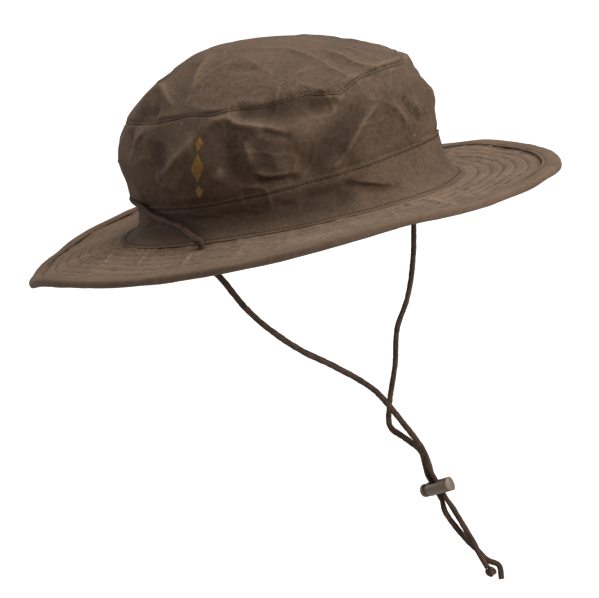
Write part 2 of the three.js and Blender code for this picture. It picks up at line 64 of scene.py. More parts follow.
# The hat's shape round the head, a row every 30 degrees from the front towards the left. Heights,
# lengths and widths are shares of the sizes in HatForm.
ROUND_COLUMNS = ("band", "waist", "belly", "corner", "taper", "full", "collar", "edge", "mid", "width")
ROUND = np.array(
    [
        [1.32, 0.88, 0.95, 1.045, 1.15, 2.3, 0.85, -0.34, -0.3, 0.983],
        [1.3, 0.88, 1.05, 1.01, 1.25, 2.2, 0.75, -0.39, -0.25, 0.96],
        [1.15, 0.85, 0.9, 1.01, 0.95, 2.3, 0.8, -0.12, -0.12, 0.98],
        [1.05, 0.85, 1, 1, 0.95, 2.6, 0.95, 0.12, 0, 0.98],
        [1, 1, 1.1, 0.985, 0.95, 3, 1.1, 0.25, 0.05, 0.98],
        [0.98, 1.4, 1.4, 0.98, 0.95, 3.4, 0.9, 0.45, 0.05, 1],
        [0.98, 1.5, 1.6, 0.93, 1.05, 3.1, 0.8, -0.22, -0.14, 1.005],
        [0.98, 1.6, 1.55, 0.97, 1.2, 2.8, 0.9, -1.1, -0.51, 1.03],
        [0.95, 1.1, 1.3, 0.99, 1.2, 2.8, 1.25, -0.5, -0.33, 1.05],
        [0.92, 1, 1.1, 0.985, 0.85, 3, 1.15, -0.64, -0.38, 0.98],
        [1.05, 1, 1, 0.97, 0.85, 2.6, 1, -0.5, -0.34, 0.98],
        [1.18, 1, 0.9, 0.985, 0.95, 2.4, 1, -0.12, -0.2, 1],
    ]
)

# Creases across the brim: degrees round, half width in degrees, share of the crease's depth.
BRIM_CREASES = ((72, 9, 1), (205, 7, 0.9), (228, 6, -0.8), (344, 8, -0.9), (12, 8, 0.6))

# How far the top's seam rises above its even line, by degrees round from the front, in millimetres.
SEAM_WAVE = (
    (2, 0), (10, 0.4), (17, 4.3), (30, 6.5), (44, 7.5), (60, 5.5), (78, 1.5), (95, -1), (150, 0.8),
    (206, 0), (245, 0.9), (256, 0.3), (268, 1.9), (273, 3), (283, 0.9), (292, 3), (301, 1.6),
    (314, 3.3), (319, 3.3), (329, -2.4), (335, 0.4), (341, 2.1), (349, 1.5),
)


class Crease(Enum):
    """How a fold looks across its line."""

    SHARP = "a pressed edge with flat sides"
    SOFT = "a rounded swell or hollow"


Fold = tuple[Array, float, float, Crease]

# The crown's folds. Each follows places on the crown, given as degrees round from the front and as
# a height: 0 the top of the band, 1 the corner, 2 the middle of the dome. Then half its width and
# its height in millimetres, with hollows below zero.
FOLDS = (
    (((218, 1.25), (196, 1.4), (166, 1.6)), 15, -3.4, Crease.SOFT),
    (((262, 1.86), (274, 1.7)), 30, 1.9, Crease.SOFT),
    (((50, 0.85), (36, 0.6), (24, 0.35)), 9, -3, Crease.SOFT),
    (((204, 0.13), (222, 0.1), (238, 0.14)), 5, 2.2, Crease.SOFT),
    (((311, 1.6), (328, 1.49), (334, 1.27), (335, 1.08), (337, 0.99)), 3.5, 1.8, Crease.SHARP),
    (((345, 1.34), (346, 1.19), (346, 1.08), (355, 0.93)), 3, 1.8, Crease.SHARP),
    (((358, 1.3), (356, 1.13), (356, 0.97)), 2.5, 1.4, Crease.SHARP),
    (((339, 1.22), (341, 1.07), (347, 0.94)), 4, -1.4, Crease.SOFT),
    (((275, 1.59), (273, 1.25), (270, 1.01)), 4.5, 2.6, Crease.SHARP),
    (((266, 1.36), (268, 1.14)), 6, -1.6, Crease.SOFT),
    (((231, 1.09), (249, 1.22), (266, 1.04)), 4, 3.4, Crease.SHARP),
    (((238, 1.0), (251, 1.02)), 5, -4.2, Crease.SOFT),
    (((291, 1.34), (302, 1.3)), 3, -1.2, Crease.SOFT),
    (((279, 1.2), (291, 1.22), (304, 1.14)), 9, -1.2, Crease.SOFT),
    (((277, 0.74), (283, 0.86), (288, 0.89), (292, 0.81), (300, 0.73), (306, 0.64), (311, 0.51)),
     4, 3.2, Crease.SHARP),
    (((294, 0.9), (301, 0.87)), 6, -3, Crease.SOFT),
    (((308, 0.86), (313, 0.87), (319, 0.83)), 8, -4.8, Crease.SOFT),
    (((304, 0.34), (312, 0.5), (320, 0.64), (330, 0.76)), 6, 2.4, Crease.SOFT),
    (((314, 0.2), (320, 0.3), (326, 0.43), (332, 0.61)), 7, -4, Crease.SOFT),
    (((318, 0.05), (324, 0.12), (330, 0.32), (337, 0.51), (347, 0.65)), 4, 2.8, Crease.SHARP),
    (((306, 0.42), (299, 0.5)), 7, -2, Crease.SOFT),
    (((274, 0.81), (273, 0.66), (264, 0.48), (253, 0.33)), 4.5, 2.8, Crease.SHARP),
    (((258, 0.63), (258, 0.51)), 7, -3.4, Crease.SOFT),
    (((250, 0.89), (245, 0.74), (244, 0.64)), 3.5, 2.4, Crease.SHARP),
    (((235, 0.8), (236, 0.7)), 4, -2.5, Crease.SOFT),
    (((293, 0.63), (294, 0.45), (293, 0.3)), 3, 1.5, Crease.SHARP),
    (((288, 0.55), (288, 0.29)), 7, -2.2, Crease.SOFT),
    (((294, 0.28), (298, 0.18), (303, 0.15), (310, 0.12)), 3, 2.2, Crease.SHARP),
    (((296, 0.13), (301, 0.1), (307, 0.08)), 2.6, -2.4, Crease.SOFT),
    (((301, 0.68), (308, 0.57)), 2.4, -2, Crease.SOFT),
    (((357, 0.52), (359, 0.4), (363, 0.27)), 1.9, -1.6, Crease.SOFT),
    (((361, 0.5), (364, 0.4), (367, 0.28)), 3, 1, Crease.SHARP),
    (((326, 0.16), (327, 0.06)), 4, -1.6, Crease.SOFT),
    (((284, 0.37), (280, 0.22)), 3, 1.8, Crease.SHARP),
    (((347, 0.65), (353, 0.42), (358, 0.11)), 4, 1.6, Crease.SHARP),
    (((345, 0.42), (341, 0.21)), 8, -1.8, Crease.SOFT),
    (((319, 0.86), (326, 0.88), (330, 0.78)), 4, 1.8, Crease.SHARP),
    (((238, -0.42), (261, -0.4), (282, -0.4), (298, -0.4), (310, -0.4), (321, -0.42)),
     6.5, -4.2, Crease.SOFT),
    (((200, -0.6), (215, -0.54), (243, -0.46), (262, -0.46)), 2.6, -1.8, Crease.SHARP),
    (((302, -0.34), (309, -0.44)), 2.2, -1, Crease.SOFT),
    (((326, -0.21), (333, -0.34), (343, -0.52)), 3, -2.2, Crease.SOFT),
    (((324, -0.14), (332, -0.24), (344, -0.45)), 3, 1.6, Crease.SHARP),
    (((311, -0.28), (323, -0.31), (336, -0.45)), 5, -1.4, Crease.SOFT),
    # The far side, which the front view hides.
    (((95, 0.3), (82, 0.6), (70, 0.88)), 6, 2.6, Crease.SHARP),
    (((88, 0.25), (66, 0.7)), 7, -2.4, Crease.SOFT),
    (((150, 0.8), (135, 0.5), (120, 0.3)), 6, -2.4, Crease.SOFT),
    (((158, 0.86), (140, 0.55), (126, 0.22)), 4.5, 2.4, Crease.SHARP),
    (((112, 0.92), (104, 0.6), (106, 0.2)), 4, 2, Crease.SHARP),
    (((195, 0.75), (185, 0.5), (175, 0.3)), 7, -2.2, Crease.SOFT),
    (((208, 0.82), (198, 0.45), (190, 0.15)), 4, 2, Crease.SHARP),
    (((176, 0.9), (168, 0.5), (170, 0.18)), 4, 2, Crease.SHARP),
    (((48, 0.85), (40, 0.5), (46, 0.18)), 4.5, 2.2, Crease.SHARP),
    (((30, 0.8), (32, 0.45)), 6, -2, Crease.SOFT),
    (((60, 1.42), (74, 1.16), (78, 0.98)), 4, 1.8, Crease.SHARP),
    (((130, 1.5), (118, 1.2), (112, 0.98)), 4, 1.8, Crease.SHARP),
    (((170, 1.45), (176, 1.18), (172, 0.98)), 4, 1.8, Crease.SHARP),
    (((205, 1.5), (208, 1.2), (214, 0.99)), 4, 1.8, Crease.SHARP),
    (((100, 1.25), (86, 1.1)), 8, -1.8, Crease.SOFT),
    (((150, 1.25), (142, 1.08)), 8, -2, Crease.SOFT),
    (((30, 1.4), (24, 1.12), (34, 0.97)), 4, 1.8, Crease.SHARP),
)

# Creases pressed into the brim: places as degrees round from the front and millimetres out from
# the crown, then half the width and the height in millimetres.
BRIM_FOLDS = (
    (((220, 54), (220, 42), (224, 32), (227, 24), (230.5, 10)), 1.8, 1.5, Crease.SHARP),
    (((230.5, 12), (245, 33), (250, 44)), 1.6, 0.8, Crease.SHARP),
    (((275.5, 22), (278, 39), (278.5, 48)), 1.5, 0.8, Crease.SHARP),
    (((254, 13), (264, 42)), 1.6, 0.7, Crease.SHARP),
    (((300, 14), (303, 44)), 2, 0.4, Crease.SHARP),
    (((347, 10), (346.5, 28), (346, 50)), 2.4, 1.1, Crease.SHARP),
    (((71.5, 31), (52.5, 33), (41.5, 48)), 2.2, 1, Crease.SHARP),
    (((150, 12), (152, 44)), 2, 0.7, Crease.SHARP),
    (((110, 14), (104, 46)), 2, 0.6, Crease.SHARP),
    (((18, 14), (14, 46)), 2, 0.7, Crease.SHARP),
    (((196, 14), (199, 46)), 2, 0.7, Crease.SHARP),
)

# The chin cord's middle line in millimetres. The part round the crown is given from the right hole,
# round the back, to the left hole.
CORD_ROUND_CROWN = (
    (9.5, -100.6, 2.7), (4.9, -96.8, 3), (-2.8, -91.5, 4.2), (-10, -87.7, 7.1),
    (-20.5, -84.6, 10.2), (-32.5, -81.2, 13.3), (-43.9, -76.4, 16.9), (-55.3, -69.4, 20),
    (-64.6, -64, 22.2), (-75.1, -54, 22.3), (-82.2, -45.9, 22), (-89.3, -36.1, 22.5),
    (-96.4, -21.4, 23), (-100.3, 0, 23), (-97.3, 20.2, 23), (-89.7, 36.3, 22.5), (-83, 46.5, 22),
    (-73.6, 57.2, 21.5), (-61.9, 65.9, 20), (-49.1, 73.9, 17.5), (-36.7, 80, 14.5),
    (-25, 84.2, 11.8), (-12.7, 87.6, 9.2), (-3.7, 89.9, 7.2), (3.7, 91.6, 5.9), (9.2, 96.8, 4.6),
)
CORD_RIGHT = (
    (18.4, -98.9, -19.1), (24, -88.3, -42), (28.2, -77.1, -57.8), (34, -60.5, -75.5),
    (40.2, -42.7, -90.4), (48.4, -22.1, -111.2), (52.2, -7.8, -134.9), (56, 2.2, -157.2),
)
CORD_RIGHT_TAIL = ((63, 9.3, -195.3), (70.6, 10, -213.9), (76.7, 10.7, -230.6), (78, 11, -233.4))
CORD_LEFT = (
    (12.8, 102.2, -22), (10.8, 99.4, -39.4), (8.8, 94.5, -59.3), (7, 82.5, -81.8),
    (5.8, 67.2, -97.4), (10.5, 50.9, -116.9), (15.7, 31, -135.5), (21.9, 19.1, -146.7),
    (34.4, 14.9, -152.7), (46.7, 11.5, -160.3),
)
CORD_LEFT_TAIL = (
    (58.1, 7.9, -197.6), (65, 12.6, -215.5), (70.3, 15.4, -224.6), (74.3, 16.9, -230.8),
    (80, 19.5, -235), (81, 18, -243.2),
)

# Whole numbers that scatter a lattice point into a random-looking 32-bit value.
PLACE_SCATTER = (73856093, 19349663, 83492791)
SEED_SCATTER = 2971215
MIXERS = ((13, 1274126177), (16, 2246822519))
LOW_BITS = 0xFFFFFFFF


def smoothstep(low: Array | float, high: Array | float, value: Array | float) -> Array:
    """A smooth step from 0 at low to 1 at high."""
    share = np.clip((value - low) / (high - low), 0, 1)
    return share * share * (3 - 2 * share)


def hump(distance: Array, half: Array | float) -> Array:
    """A bell of height 1, half as wide as given."""
    return np.exp(-((distance / half) ** 2))


def smooth_noise(points: Array, size: float, seed: int) -> Array:
    """Smooth noise from -1 to 1 through space.

    Args:
        points: places, with their three coordinates last.
        size: the distance over which the noise changes.
        seed: a whole number that picks the pattern.

    Returns:
        One value for each place.
    """
    cell = points / size
    base = np.floor(cell).astype(np.int64)
    share = cell - base
    share = share**3 * (share * (share * 6 - 15) + 10)
    total = np.zeros(points.shape[:-1])
    for corner in product((0, 1), repeat=3):
        at = base + np.array(corner)
        key = seed * SEED_SCATTER
        for k, scatter in enumerate(PLACE_SCATTER):
            key = key ^ at[..., k] * scatter
        for shift, factor in MIXERS:
            key = (key ^ (key >> shift)) * factor & LOW_BITS
        weight = np.prod(np.where(np.array(corner) == 1, share, 1 - share), axis=-1)
        total += weight * (key / (LOW_BITS // 2) - 1)
    return total


def smooth_route(points: Array, step: float) -> Array:
    """Points at even steps along a smooth curve through the given ones.

    Args:
        points: the places that the curve goes through.
        step: the distance between the points returned.

    Returns:
        The points of the curve, its two ends included.
    """
    ends = [2 * points[0] - points[1], *points, 2 * points[-1] - points[-2]]
    fine = []
    for a, b, c, d in zip(ends, ends[1:], ends[2:], ends[3:]):
        knots = [0.0]
        for p, q in ((a, b), (b, c), (c, d)):
            knots.append(knots[-1] + max(np.linalg.norm(q - p) ** 0.5, 1e-6))
        t = np.linspace(knots[1], knots[2], 24, endpoint=False)[:, None]
        u = knots
        ab = (u[1] - t) / (u[1] - u[0]) * a + (t - u[0]) / (u[1] - u[0]) * b
        bc = (u[2] - t) / (u[2] - u[1]) * b + (t - u[1]) / (u[2] - u[1]) * c
        cd = (u[3] - t) / (u[3] - u[2]) * c + (t - u[2]) / (u[3] - u[2]) * d
        abc = (u[2] - t) / (u[2] - u[0]) * ab + (t - u[0]) / (u[2] - u[0]) * bc
        bcd = (u[3] - t) / (u[3] - u[1]) * bc + (t - u[1]) / (u[3] - u[1]) * cd
        fine.append((u[2] - t) / (u[2] - u[1]) * abc + (t - u[1]) / (u[2] - u[1]) * bcd)
    fine = np.vstack([*fine, points[-1:]])
    along = np.concatenate([[0], np.cumsum(np.linalg.norm(np.diff(fine, axis=0), axis=1))])
    places = np.linspace(0, along[-1], max(2, round(along[-1] / step) + 1))
    return np.stack([np.interp(places, along, fine[:, k]) for k in range(3)], axis=1)


@dataclass(frozen=True)
class HatForm:
    """The hat's main surfaces, worked out from its sizes."""

    cloth: float = 0.0007
    play: float = 0.0001
    crown_length: float = 0.205
    crown_width: float = 0.172
    band_height: float = 0.020
    band_tuck: float = 0.008
    band_lip: float = 0.0006
    corner_height: float = 0.072
    dome_rise: float = 0.026
    dome_back: float = 0.018
    dome_left: float = 0.002
    waist: float = 0.004
    belly: float = 0.0055
    taper: float = 0.0095
    collar: float = 0.0095
    seam_lap: float = 0.004
    lap_step: float = 0.0012
    brim_width: float = 0.0655
    brim_thick: float = 0.0026
    brim_droop: float = 0.012
    crease_depth: float = 0.0016
    mid_place: float = 0.55
    head_margin: float = 0.0035
    binding_width: float = 0.011
    binding_cloth: float = 0.0009
    binding_roll: float = 0.001
    hole: float = 0.0048
    hole_out: float = 0.0175
    hole_degrees: float = 83.0

    def around(self, column: str, angle: Array) -> Array:
        """A column of ROUND at each angle, by a smooth curve through its rows."""
        rows = ROUND[:, ROUND_COLUMNS.index(column)]
        place = (np.asarray(angle) / (2 * np.pi) % 1) * len(rows)
        first = np.floor(place).astype(int)
        f = place - first
        a, b, c, d = (rows[(first + k) % len(rows)] for k in (-1, 0, 1, 2))
        return b + 0.5 * f * (c - a + f * (2 * a - 5 * b + 4 * c - d + f * (3 * (b - c) + d - a)))

    def plan(self, angle: Array, out: Array | float) -> tuple[Array, Array]:
        """Places at a distance outside the crown's wall line, seen from above."""
        length, width = self.crown_length / 2, self.crown_width / 2
        c, s = np.cos(angle), np.sin(angle)
        scale = out / np.hypot(width * c, length * s)
        return length * c + scale * width * c, width * s + scale * length * s

    def brim_height(self, angle: Array, out: Array | float) -> Array:
        """Height of the brim's upper face at a distance outside the wall line."""
        share = out / (self.brim_width * self.around("width", angle))
        edge = self.brim_droop * self.around("edge", angle)
        mid = self.brim_droop * self.around("mid", angle)
        k = self.mid_place
        slope = (mid - edge * k * k) / (k - k * k)
        crease = np.zeros_like(share * np.asarray(angle))
        for degrees, half, high in BRIM_CREASES:
            away = (np.degrees(angle) - degrees + 180) % 360 - 180
            crease = crease + self.crease_depth * high * hump(away, half)
        fade = smoothstep(0.25, 0.7, share)
        return slope * share + (edge - slope) * share**2 + fade * crease

    def brim_point(self, angle: Array, out: Array | float, lift: Array | float) -> Array:
        """Places on the brim, lifted from its upper face."""
        angle, out, lift = np.broadcast_arrays(angle, out, lift)
        x, y = self.plan(angle, out)
        return np.stack([x, y, self.brim_height(angle, out) + lift], -1)

    def brim_edge(self, angle: Array) -> Array:
        """How far out the brim's own edge lies, inside the binding's fold."""
        roll = self.binding_roll + self.binding_cloth + self.play
        return self.brim_width * self.around("width", angle) - roll

    def side_height(self, angle: Array) -> Array:
        """Height of the crown's side, from the band to the corner."""
        corner = self.corner_height * self.around("corner", angle)
        return corner - self.band_height * self.around("band", angle)

    def skin(self, angle: Array, up: Array | float) -> Array:
        """The crown's outer face without its folds.

        Args:
            angle: radians round from the front.
            up: -1 at the collar's edge, 0 at the top of the band, 1 at the corner, 2 at the dome's
                middle.

        Returns:
            The places, with their coordinates last.
        """
        angle, up = np.broadcast_arrays(np.asarray(angle, float), np.asarray(up, float))
        waist = self.waist * self.around("waist", angle)
        taper = self.taper * self.around("taper", angle)
        collar = self.collar * self.around("collar", angle)
        top = self.band_height * self.around("band", angle)
        corner = self.corner_height * self.around("corner", angle)
        foot = self.brim_height(angle, collar) + self.play + self.cloth
        climb = np.clip(up + 1, 0, 1)
        side = np.clip(up, 0, 1)
        bow = np.clip(np.sin(np.pi * side), 0, 1) ** 1.15 * (1 + 0.2 * (2 * side - 1))
        wall = -waist + (waist - taper) * side + self.belly * self.around("belly", angle) * bow
        flare = (collar + waist) * (1 - climb) ** 1.9 - waist
        x, y = self.plan(angle, np.where(up < 0, flare, wall))
        z = np.where(up < 0, foot + (top - foot) * climb**2, top + (corner - top) * side)
        reach = np.clip(2 - up, 0, 1)
        rim_x, rim_y = self.plan(angle, -taper)
        dome_x = -self.dome_back * (1 - reach) + rim_x * reach
        dome_y = self.dome_left * (1 - reach) + rim_y * reach
        rise = self.corner_height + self.dome_rise - corner
        dome_z = corner + rise * (1 - reach ** self.around("full", angle))
        over = up > 1
        places = (np.where(over, dome_x, x), np.where(over, dome_y, y), np.where(over, dome_z, z))
        return np.stack(places, -1)

    def normal(self, angle: Array, up: Array | float) -> Array:
        """The direction straight out of the skin."""
        angle, up = np.broadcast_arrays(np.asarray(angle, float), np.asarray(up, float))
        level = np.clip(up, -1, 1.97)
        aside = self.skin(angle + 0.01, level) - self.skin(angle - 0.01, level)
        above = self.skin(angle, level + 0.02) - self.skin(angle, np.maximum(level - 0.02, -1))
        out = np.cross(aside, above)
        out /= np.linalg.norm(out, axis=-1, keepdims=True)
        near_pole = smoothstep(1.9, 2, up)[..., None]
        out = out * (1 - near_pole) + np.array([0, 0, 1]) * near_pole
        return out / np.linalg.norm(out, axis=-1, keepdims=True)


# A fold's shape, in half widths: how far it reaches, how round a sharp edge is, how fast its flanks
# fall, and how wide a soft one swells.
FOLD_REACH = 3.5
EDGE_ROUND = 0.3
FLANK_FALL = 0.62
SOFT_SPREAD = 1.25


def fold_height(points: Array, lines: list[Fold]) -> Array:
    """How far folds lift the cloth at each point.

    Args:
        points: places, with their coordinates last.
        lines: each fold's middle line, half width, height and look.

    Returns:
        The lift at each place, with hollows below zero.
    """
    flat = points.reshape(-1, 3)
    total = np.zeros(len(flat))
    for line, half, height, crease in lines:
        low, high = line.min(0) - FOLD_REACH * half, line.max(0) + FOLD_REACH * half
        near = np.where(np.all((flat > low) & (flat < high), axis=1))[0]
        least = np.full(len(near), np.inf)
        along = np.zeros(len(near))
        for k, (a, b) in enumerate(zip(line, line[1:])):
            leg = b - a
            share = np.clip((flat[near] - a) @ leg / (leg @ leg), 0, 1)
            away = np.linalg.norm(flat[near] - a - share[:, None] * leg, axis=1)
            closer = away < least
            least = np.where(closer, away, least)
            along = np.where(closer, (k + share) / (len(line) - 1), along)
        if crease is Crease.SHARP:
            soft = EDGE_ROUND * half
            across = np.exp(-(np.hypot(least, soft) - soft) / (FLANK_FALL * half))
            total[near] += height * across * (1 - (2 * along - 1) ** 2)
        else:
            total[near] += height * hump(least, SOFT_SPREAD * half)
    return total.reshape(points.shape[:-1])


class CrownCloth:
    """The crown's cloth: its smooth form with its folds, creases and small wrinkles."""

    strength: float = 1.15
    route_step: float = 2.0
    swell_size, swell_height = 0.024, 0.0009
    warp_size, warp_reach = 0.02, 0.006
    net_size, net_height = 0.017, 0.0006
    fine_size, fine_height = 0.006, 0.00012

    def __init__(self, form: HatForm) -> None:
        """Lays every fold of FOLDS on the smooth form.

        Args:
            form: the hat's main surfaces.
        """
        self.form = form
        self.lines: list[Fold] = []
        for path, half, height, crease in FOLDS:
            # Heights count a hundredfold here, so that they weigh as much as degrees.
            knots = np.array([(d, 100 * u, 0) for d, u in path], float)
            places = smooth_route(knots, self.route_step)
            line = form.skin(np.radians(places[:, 0]), places[:, 1] / 100)
            self.lines.append((line, half * MM, self.strength * height * MM, crease))

    def fold_shift(self, points: Array) -> Array:
        """How far the folds move the cloth outwards at each point."""
        return fold_height(points, self.lines)

    def wrinkles(self, points: Array) -> Array:
        """Small unevenness of worn cloth: slow swells and a net of faint pressed lines."""
        slow = smooth_noise(points, self.swell_size, 3) * self.swell_height
        warp = np.stack([smooth_noise(points, self.warp_size, k) for k in (11, 12, 13)], -1)
        net = smooth_noise(points + self.warp_reach * warp, self.net_size, 5)
        lines = np.clip(1 - np.abs(net) * 2.2, 0, 1) ** 3 * self.net_height
        return slow + lines + smooth_noise(points, self.fine_size, 7) * self.fine_height

    def surface(self, angle: Array, up: Array, inset: Array | float) -> Array:
        """Places on the folded cloth, moved in from its outer face.

        Args:
            angle: radians round from the front.
            up: height as in HatForm.skin.
            inset: depth below the outer face.

        Returns:
            The places, with their coordinates last.
        """
        smooth = self.form.skin(angle, up)
        outward = smooth - np.array([0, 0, self.form.corner_height / 2])
        outward /= np.linalg.norm(outward, axis=-1, keepdims=True)
        quiet = smoothstep(-1, -0.75, np.broadcast_to(up, smooth.shape[:-1]))
        shift = self.fold_shift(smooth) + self.wrinkles(smooth) * quiet
        depth = np.broadcast_to(inset, smooth.shape[:-1])[..., None]
        return smooth + outward * shift[..., None] - self.form.normal(angle, up) * depth


def new_object(name: str, data: bpy.types.ID) -> Piece:
    """Puts a mesh, a light or a camera in the scene under a name."""
    made = bpy.data.objects.new(name, data)
    bpy.context.scene.collection.objects.link(made)
    return made


def new_mesh(
    name: str, points: list, faces: list, edges: list | None = None, smooth: bool = False
) -> Mesh:
    """A mesh from points, and from faces or edges that list them by number."""
    mesh = bpy.data.meshes.new(name)
    mesh.from_pydata(points, edges or [], faces)
    if smooth:
        mesh.polygons.foreach_set("use_smooth", [True] * len(mesh.polygons))
    return mesh


def evaluated_mesh(thing: Piece) -> Mesh:
    """A new mesh of an object with its modifiers applied."""
    bpy.context.view_layer.update()
    evaluated = thing.evaluated_get(bpy.context.evaluated_depsgraph_get())
    return bpy.data.meshes.new_from_object(evaluated)


def add_layer(mesh: Mesh, name: str, values: Array) -> None:
    """Keeps a number or a vector for each point of a mesh."""
    values = np.asarray(values, np.float32)
    kind, key = ("FLOAT", "value") if values.ndim == 1 else ("FLOAT_VECTOR", "vector")
    mesh.attributes.new(name, kind, "POINT").data.foreach_set(key, values.ravel())


def cut_with(body: Piece, tool: Piece, operation: str, solver: str) -> None:
    """Adds a Boolean modifier to a body."""
    modifier = body.modifiers.new("Cut", "BOOLEAN")
    modifier.operation = operation
    modifier.solver = solver
    modifier.object = tool


def turns(count: int) -> Array:
    """Angles at even steps once round."""
    return np.arange(count) * 2 * np.pi / count


def run_along(places: Array) -> Array:
    """Distances along each column of places, from 0 at its first row."""
    steps = np.cumsum(np.linalg.norm(np.diff(places, axis=1), axis=2), 1)
    return np.concatenate([np.zeros_like(steps[:, :1]), steps], 1)


def direction(azimuth: float, elevation: float) -> Vector:
    """The direction from the hat to a place, in degrees round from the front and up."""
    a, e = math.radians(azimuth), math.radians(elevation)
    return Vector((math.sin(a) * math.cos(e), -math.cos(a) * math.cos(e), math.sin(e)))


def swept_mesh(
    name: str,
    sections: Array,
    chart: Array,
    layers: dict[str, Array],
    poles: bool = False,
) -> Piece:
    """A closed body swept round the hat.

    Args:
        name: the piece's name.
        sections: places by column, row and coordinate. The rows of a section close on themselves.
        chart: flat cloth coordinates in metres, with one column and one row more than sections.
        layers: values by column and row, kept as attributes for the materials.
        poles: whether the first and last rows shrink to one point each.

    Returns:
        The piece's object.
    """
    columns, rows = sections.shape[:2]
    c, r = np.meshgrid(np.arange(columns), np.arange(rows - 1 if poles else rows), indexing="ij")
    c, r = c.ravel(), r.ravel()
    corner_c = np.stack([c, c + 1, c + 1, c], 1)
    corner_r = np.stack([r, r, r + 1, r + 1], 1)
    index = (corner_c % columns) * rows + corner_r % rows
    if poles:
        index = np.where(corner_r == 0, 0, index)
        index = np.where(corner_r == rows - 1, rows - 1, index)
    charts = chart[corner_c, corner_r]
    used, compact = np.unique(index, return_inverse=True)
    compact = compact.reshape(index.shape)
    faces, uv = [], []
    for face, place in zip(compact.tolist(), charts):
        keep = (0, 1, 2, 3)
        if face[0] == face[1]:
            keep = (0, 2, 3)
        elif face[2] == face[3]:
            keep = (0, 1, 2)
        faces.append([face[k] for k in keep])
        uv.append(place[list(keep)])
    mesh = new_mesh(name, sections.reshape(-1, 3)[used].tolist(), faces, smooth=True)
    mesh.uv_layers.new(name="cloth").uv.foreach_set("vector", np.concatenate(uv).ravel())
    for key, values in layers.items():
        add_layer(mesh, key, values.reshape(-1)[used])
    mesh.validate()
    return new_object(name, mesh)


def crest_of(sections: Array, reach: int, poles: bool = False) -> Array:
    """How far each point stands proud of those around it, for wear and painted highlight on raised
    cloth and painted shade in hollows.

    Args:
        sections: places by column, row and coordinate, outer rows and inner rows.
        reach: how many columns and rows away the neighbours are.
        poles: whether the rows end at poles, so that they don't wrap.

    Returns:
        Heights in metres by column and row, below zero in hollows.
    """
    aside = (np.roll(sections, reach, 0) + np.roll(sections, -reach, 0)) / 2
    above = (np.roll(sections, reach, 1) + np.roll(sections, -reach, 1)) / 2
    if poles:
        above[:, :reach] = sections[:, :reach]
        above[:, -reach:] = sections[:, -reach:]
    across = np.roll(sections, -1, 0) - np.roll(sections, 1, 0)
    along = np.roll(sections, -1, 1) - np.roll(sections, 1, 1)
    normal = np.cross(across, along)
    normal /= np.linalg.norm(normal, axis=-1, keepdims=True) + 1e-12
    return np.einsum("crk,crk->cr", sections - (aside + above) / 2, normal)


def chart_round(angle: Array, along: Array, radius: float) -> Array:
    """Cloth coordinates of a strip that runs round the hat."""
    turn = np.append(angle, angle[0] + 2 * np.pi) * radius
    along = np.append(along, 2 * along[-1] - along[-2])
    return np.stack(np.meshgrid(turn, along, indexing="ij"), -1)


def chart_flat(sections: Array) -> Array:
    """Cloth coordinates of a panel cut from flat cloth, seen from above."""
    wrapped = np.concatenate([sections, sections[:1]], 0)
    return np.concatenate([wrapped, wrapped[:, :1]], 1)[..., :2]


# Node trees


def set_inputs(tree: Tree, node: Node, inputs: dict[object, object]) -> None:
    """Sets a node's inputs by number or name, or links them where the value is a socket."""
    for key, value in inputs.items():
        if isinstance(value, Socket):
            tree.links.new(value, node.inputs[key])
        else:
            node.inputs[key].default_value = value


def add_node(
    tree: Tree, kind: str, inputs: dict[object, object] | None = None, **settings: object
) -> Node:
    """Adds a node to a tree.

    Args:
        tree: the tree that it goes into.
        kind: Blender's name of the node's type.
        inputs: values or sockets, by the input's number or name.
        settings: the node's properties by name.

    Returns:
        The new node.
    """
    made = tree.nodes.new(kind)
    for key, value in settings.items():
        setattr(made, key, value)
    set_inputs(tree, made, inputs or {})
    return made


def socket(tree: Tree, name: str, kind: str, output: bool = False, default: object = None) -> None:
    """Adds a named input or output to a group."""
    way = "OUTPUT" if output else "INPUT"
    made = tree.interface.new_socket(name, in_out=way, socket_type="NodeSocket" + kind)
    if default is not None:
        made.default_value = default


def math_node(tree: Tree, operation: str, *values: object) -> Socket:
    """A Math node's result, from numbers or sockets."""
    inputs = dict(enumerate(values))
    return add_node(tree, "ShaderNodeMath", inputs, operation=operation).outputs[0]


def ramp(tree: Tree, value: Socket, low: float, high: float) -> Socket:
    """A smooth mask that is 0 at low and 1 at high."""
    inputs = {0: value, 1: low, 2: high, 3: 0.0, 4: 1.0}
    return add_node(tree, "ShaderNodeMapRange", inputs, interpolation_type="SMOOTHSTEP").outputs[0]


def mix_colour(tree: Tree, share: object, first: object, second: object) -> Socket:
    """A Mix node's colour, from one colour to another."""
    inputs = {0: share, 6: first, 7: second}
    return add_node(tree, "ShaderNodeMix", inputs, data_type="RGBA").outputs[2]


def noise(
    tree: Tree, place: Socket, scale: object, detail: float, rough: float, twist: float = 0.0
) -> Socket:
    """A Noise texture's value, from 0 to 1."""
    inputs = {"Vector": place, "Scale": scale, "Detail": detail, "Roughness": rough}
    inputs["Distortion"] = twist
    return add_node(tree, "ShaderNodeTexNoise", inputs).outputs["Fac"]


def bump(tree: Tree, height: Socket, strength: float, depth: float, **more: object) -> Socket:
    """A Bump node's normal, from a height whose depth is in metres."""
    inputs = {"Strength": strength, "Distance": depth, "Height": height, **more}
    return add_node(tree, "ShaderNodeBump", inputs).outputs[0]


def srgb(red: int, green: int, blue: int) -> Colour:
    """A linear colour from screen values up to 255."""

    def linear(value: float) -> float:
        """One channel, made linear."""
        return value / 12.92 if value <= 0.04045 else ((value + 0.055) / 1.055) ** 2.4

    return (linear(red / 255), linear(green / 255), linear(blue / 255), 1.0)


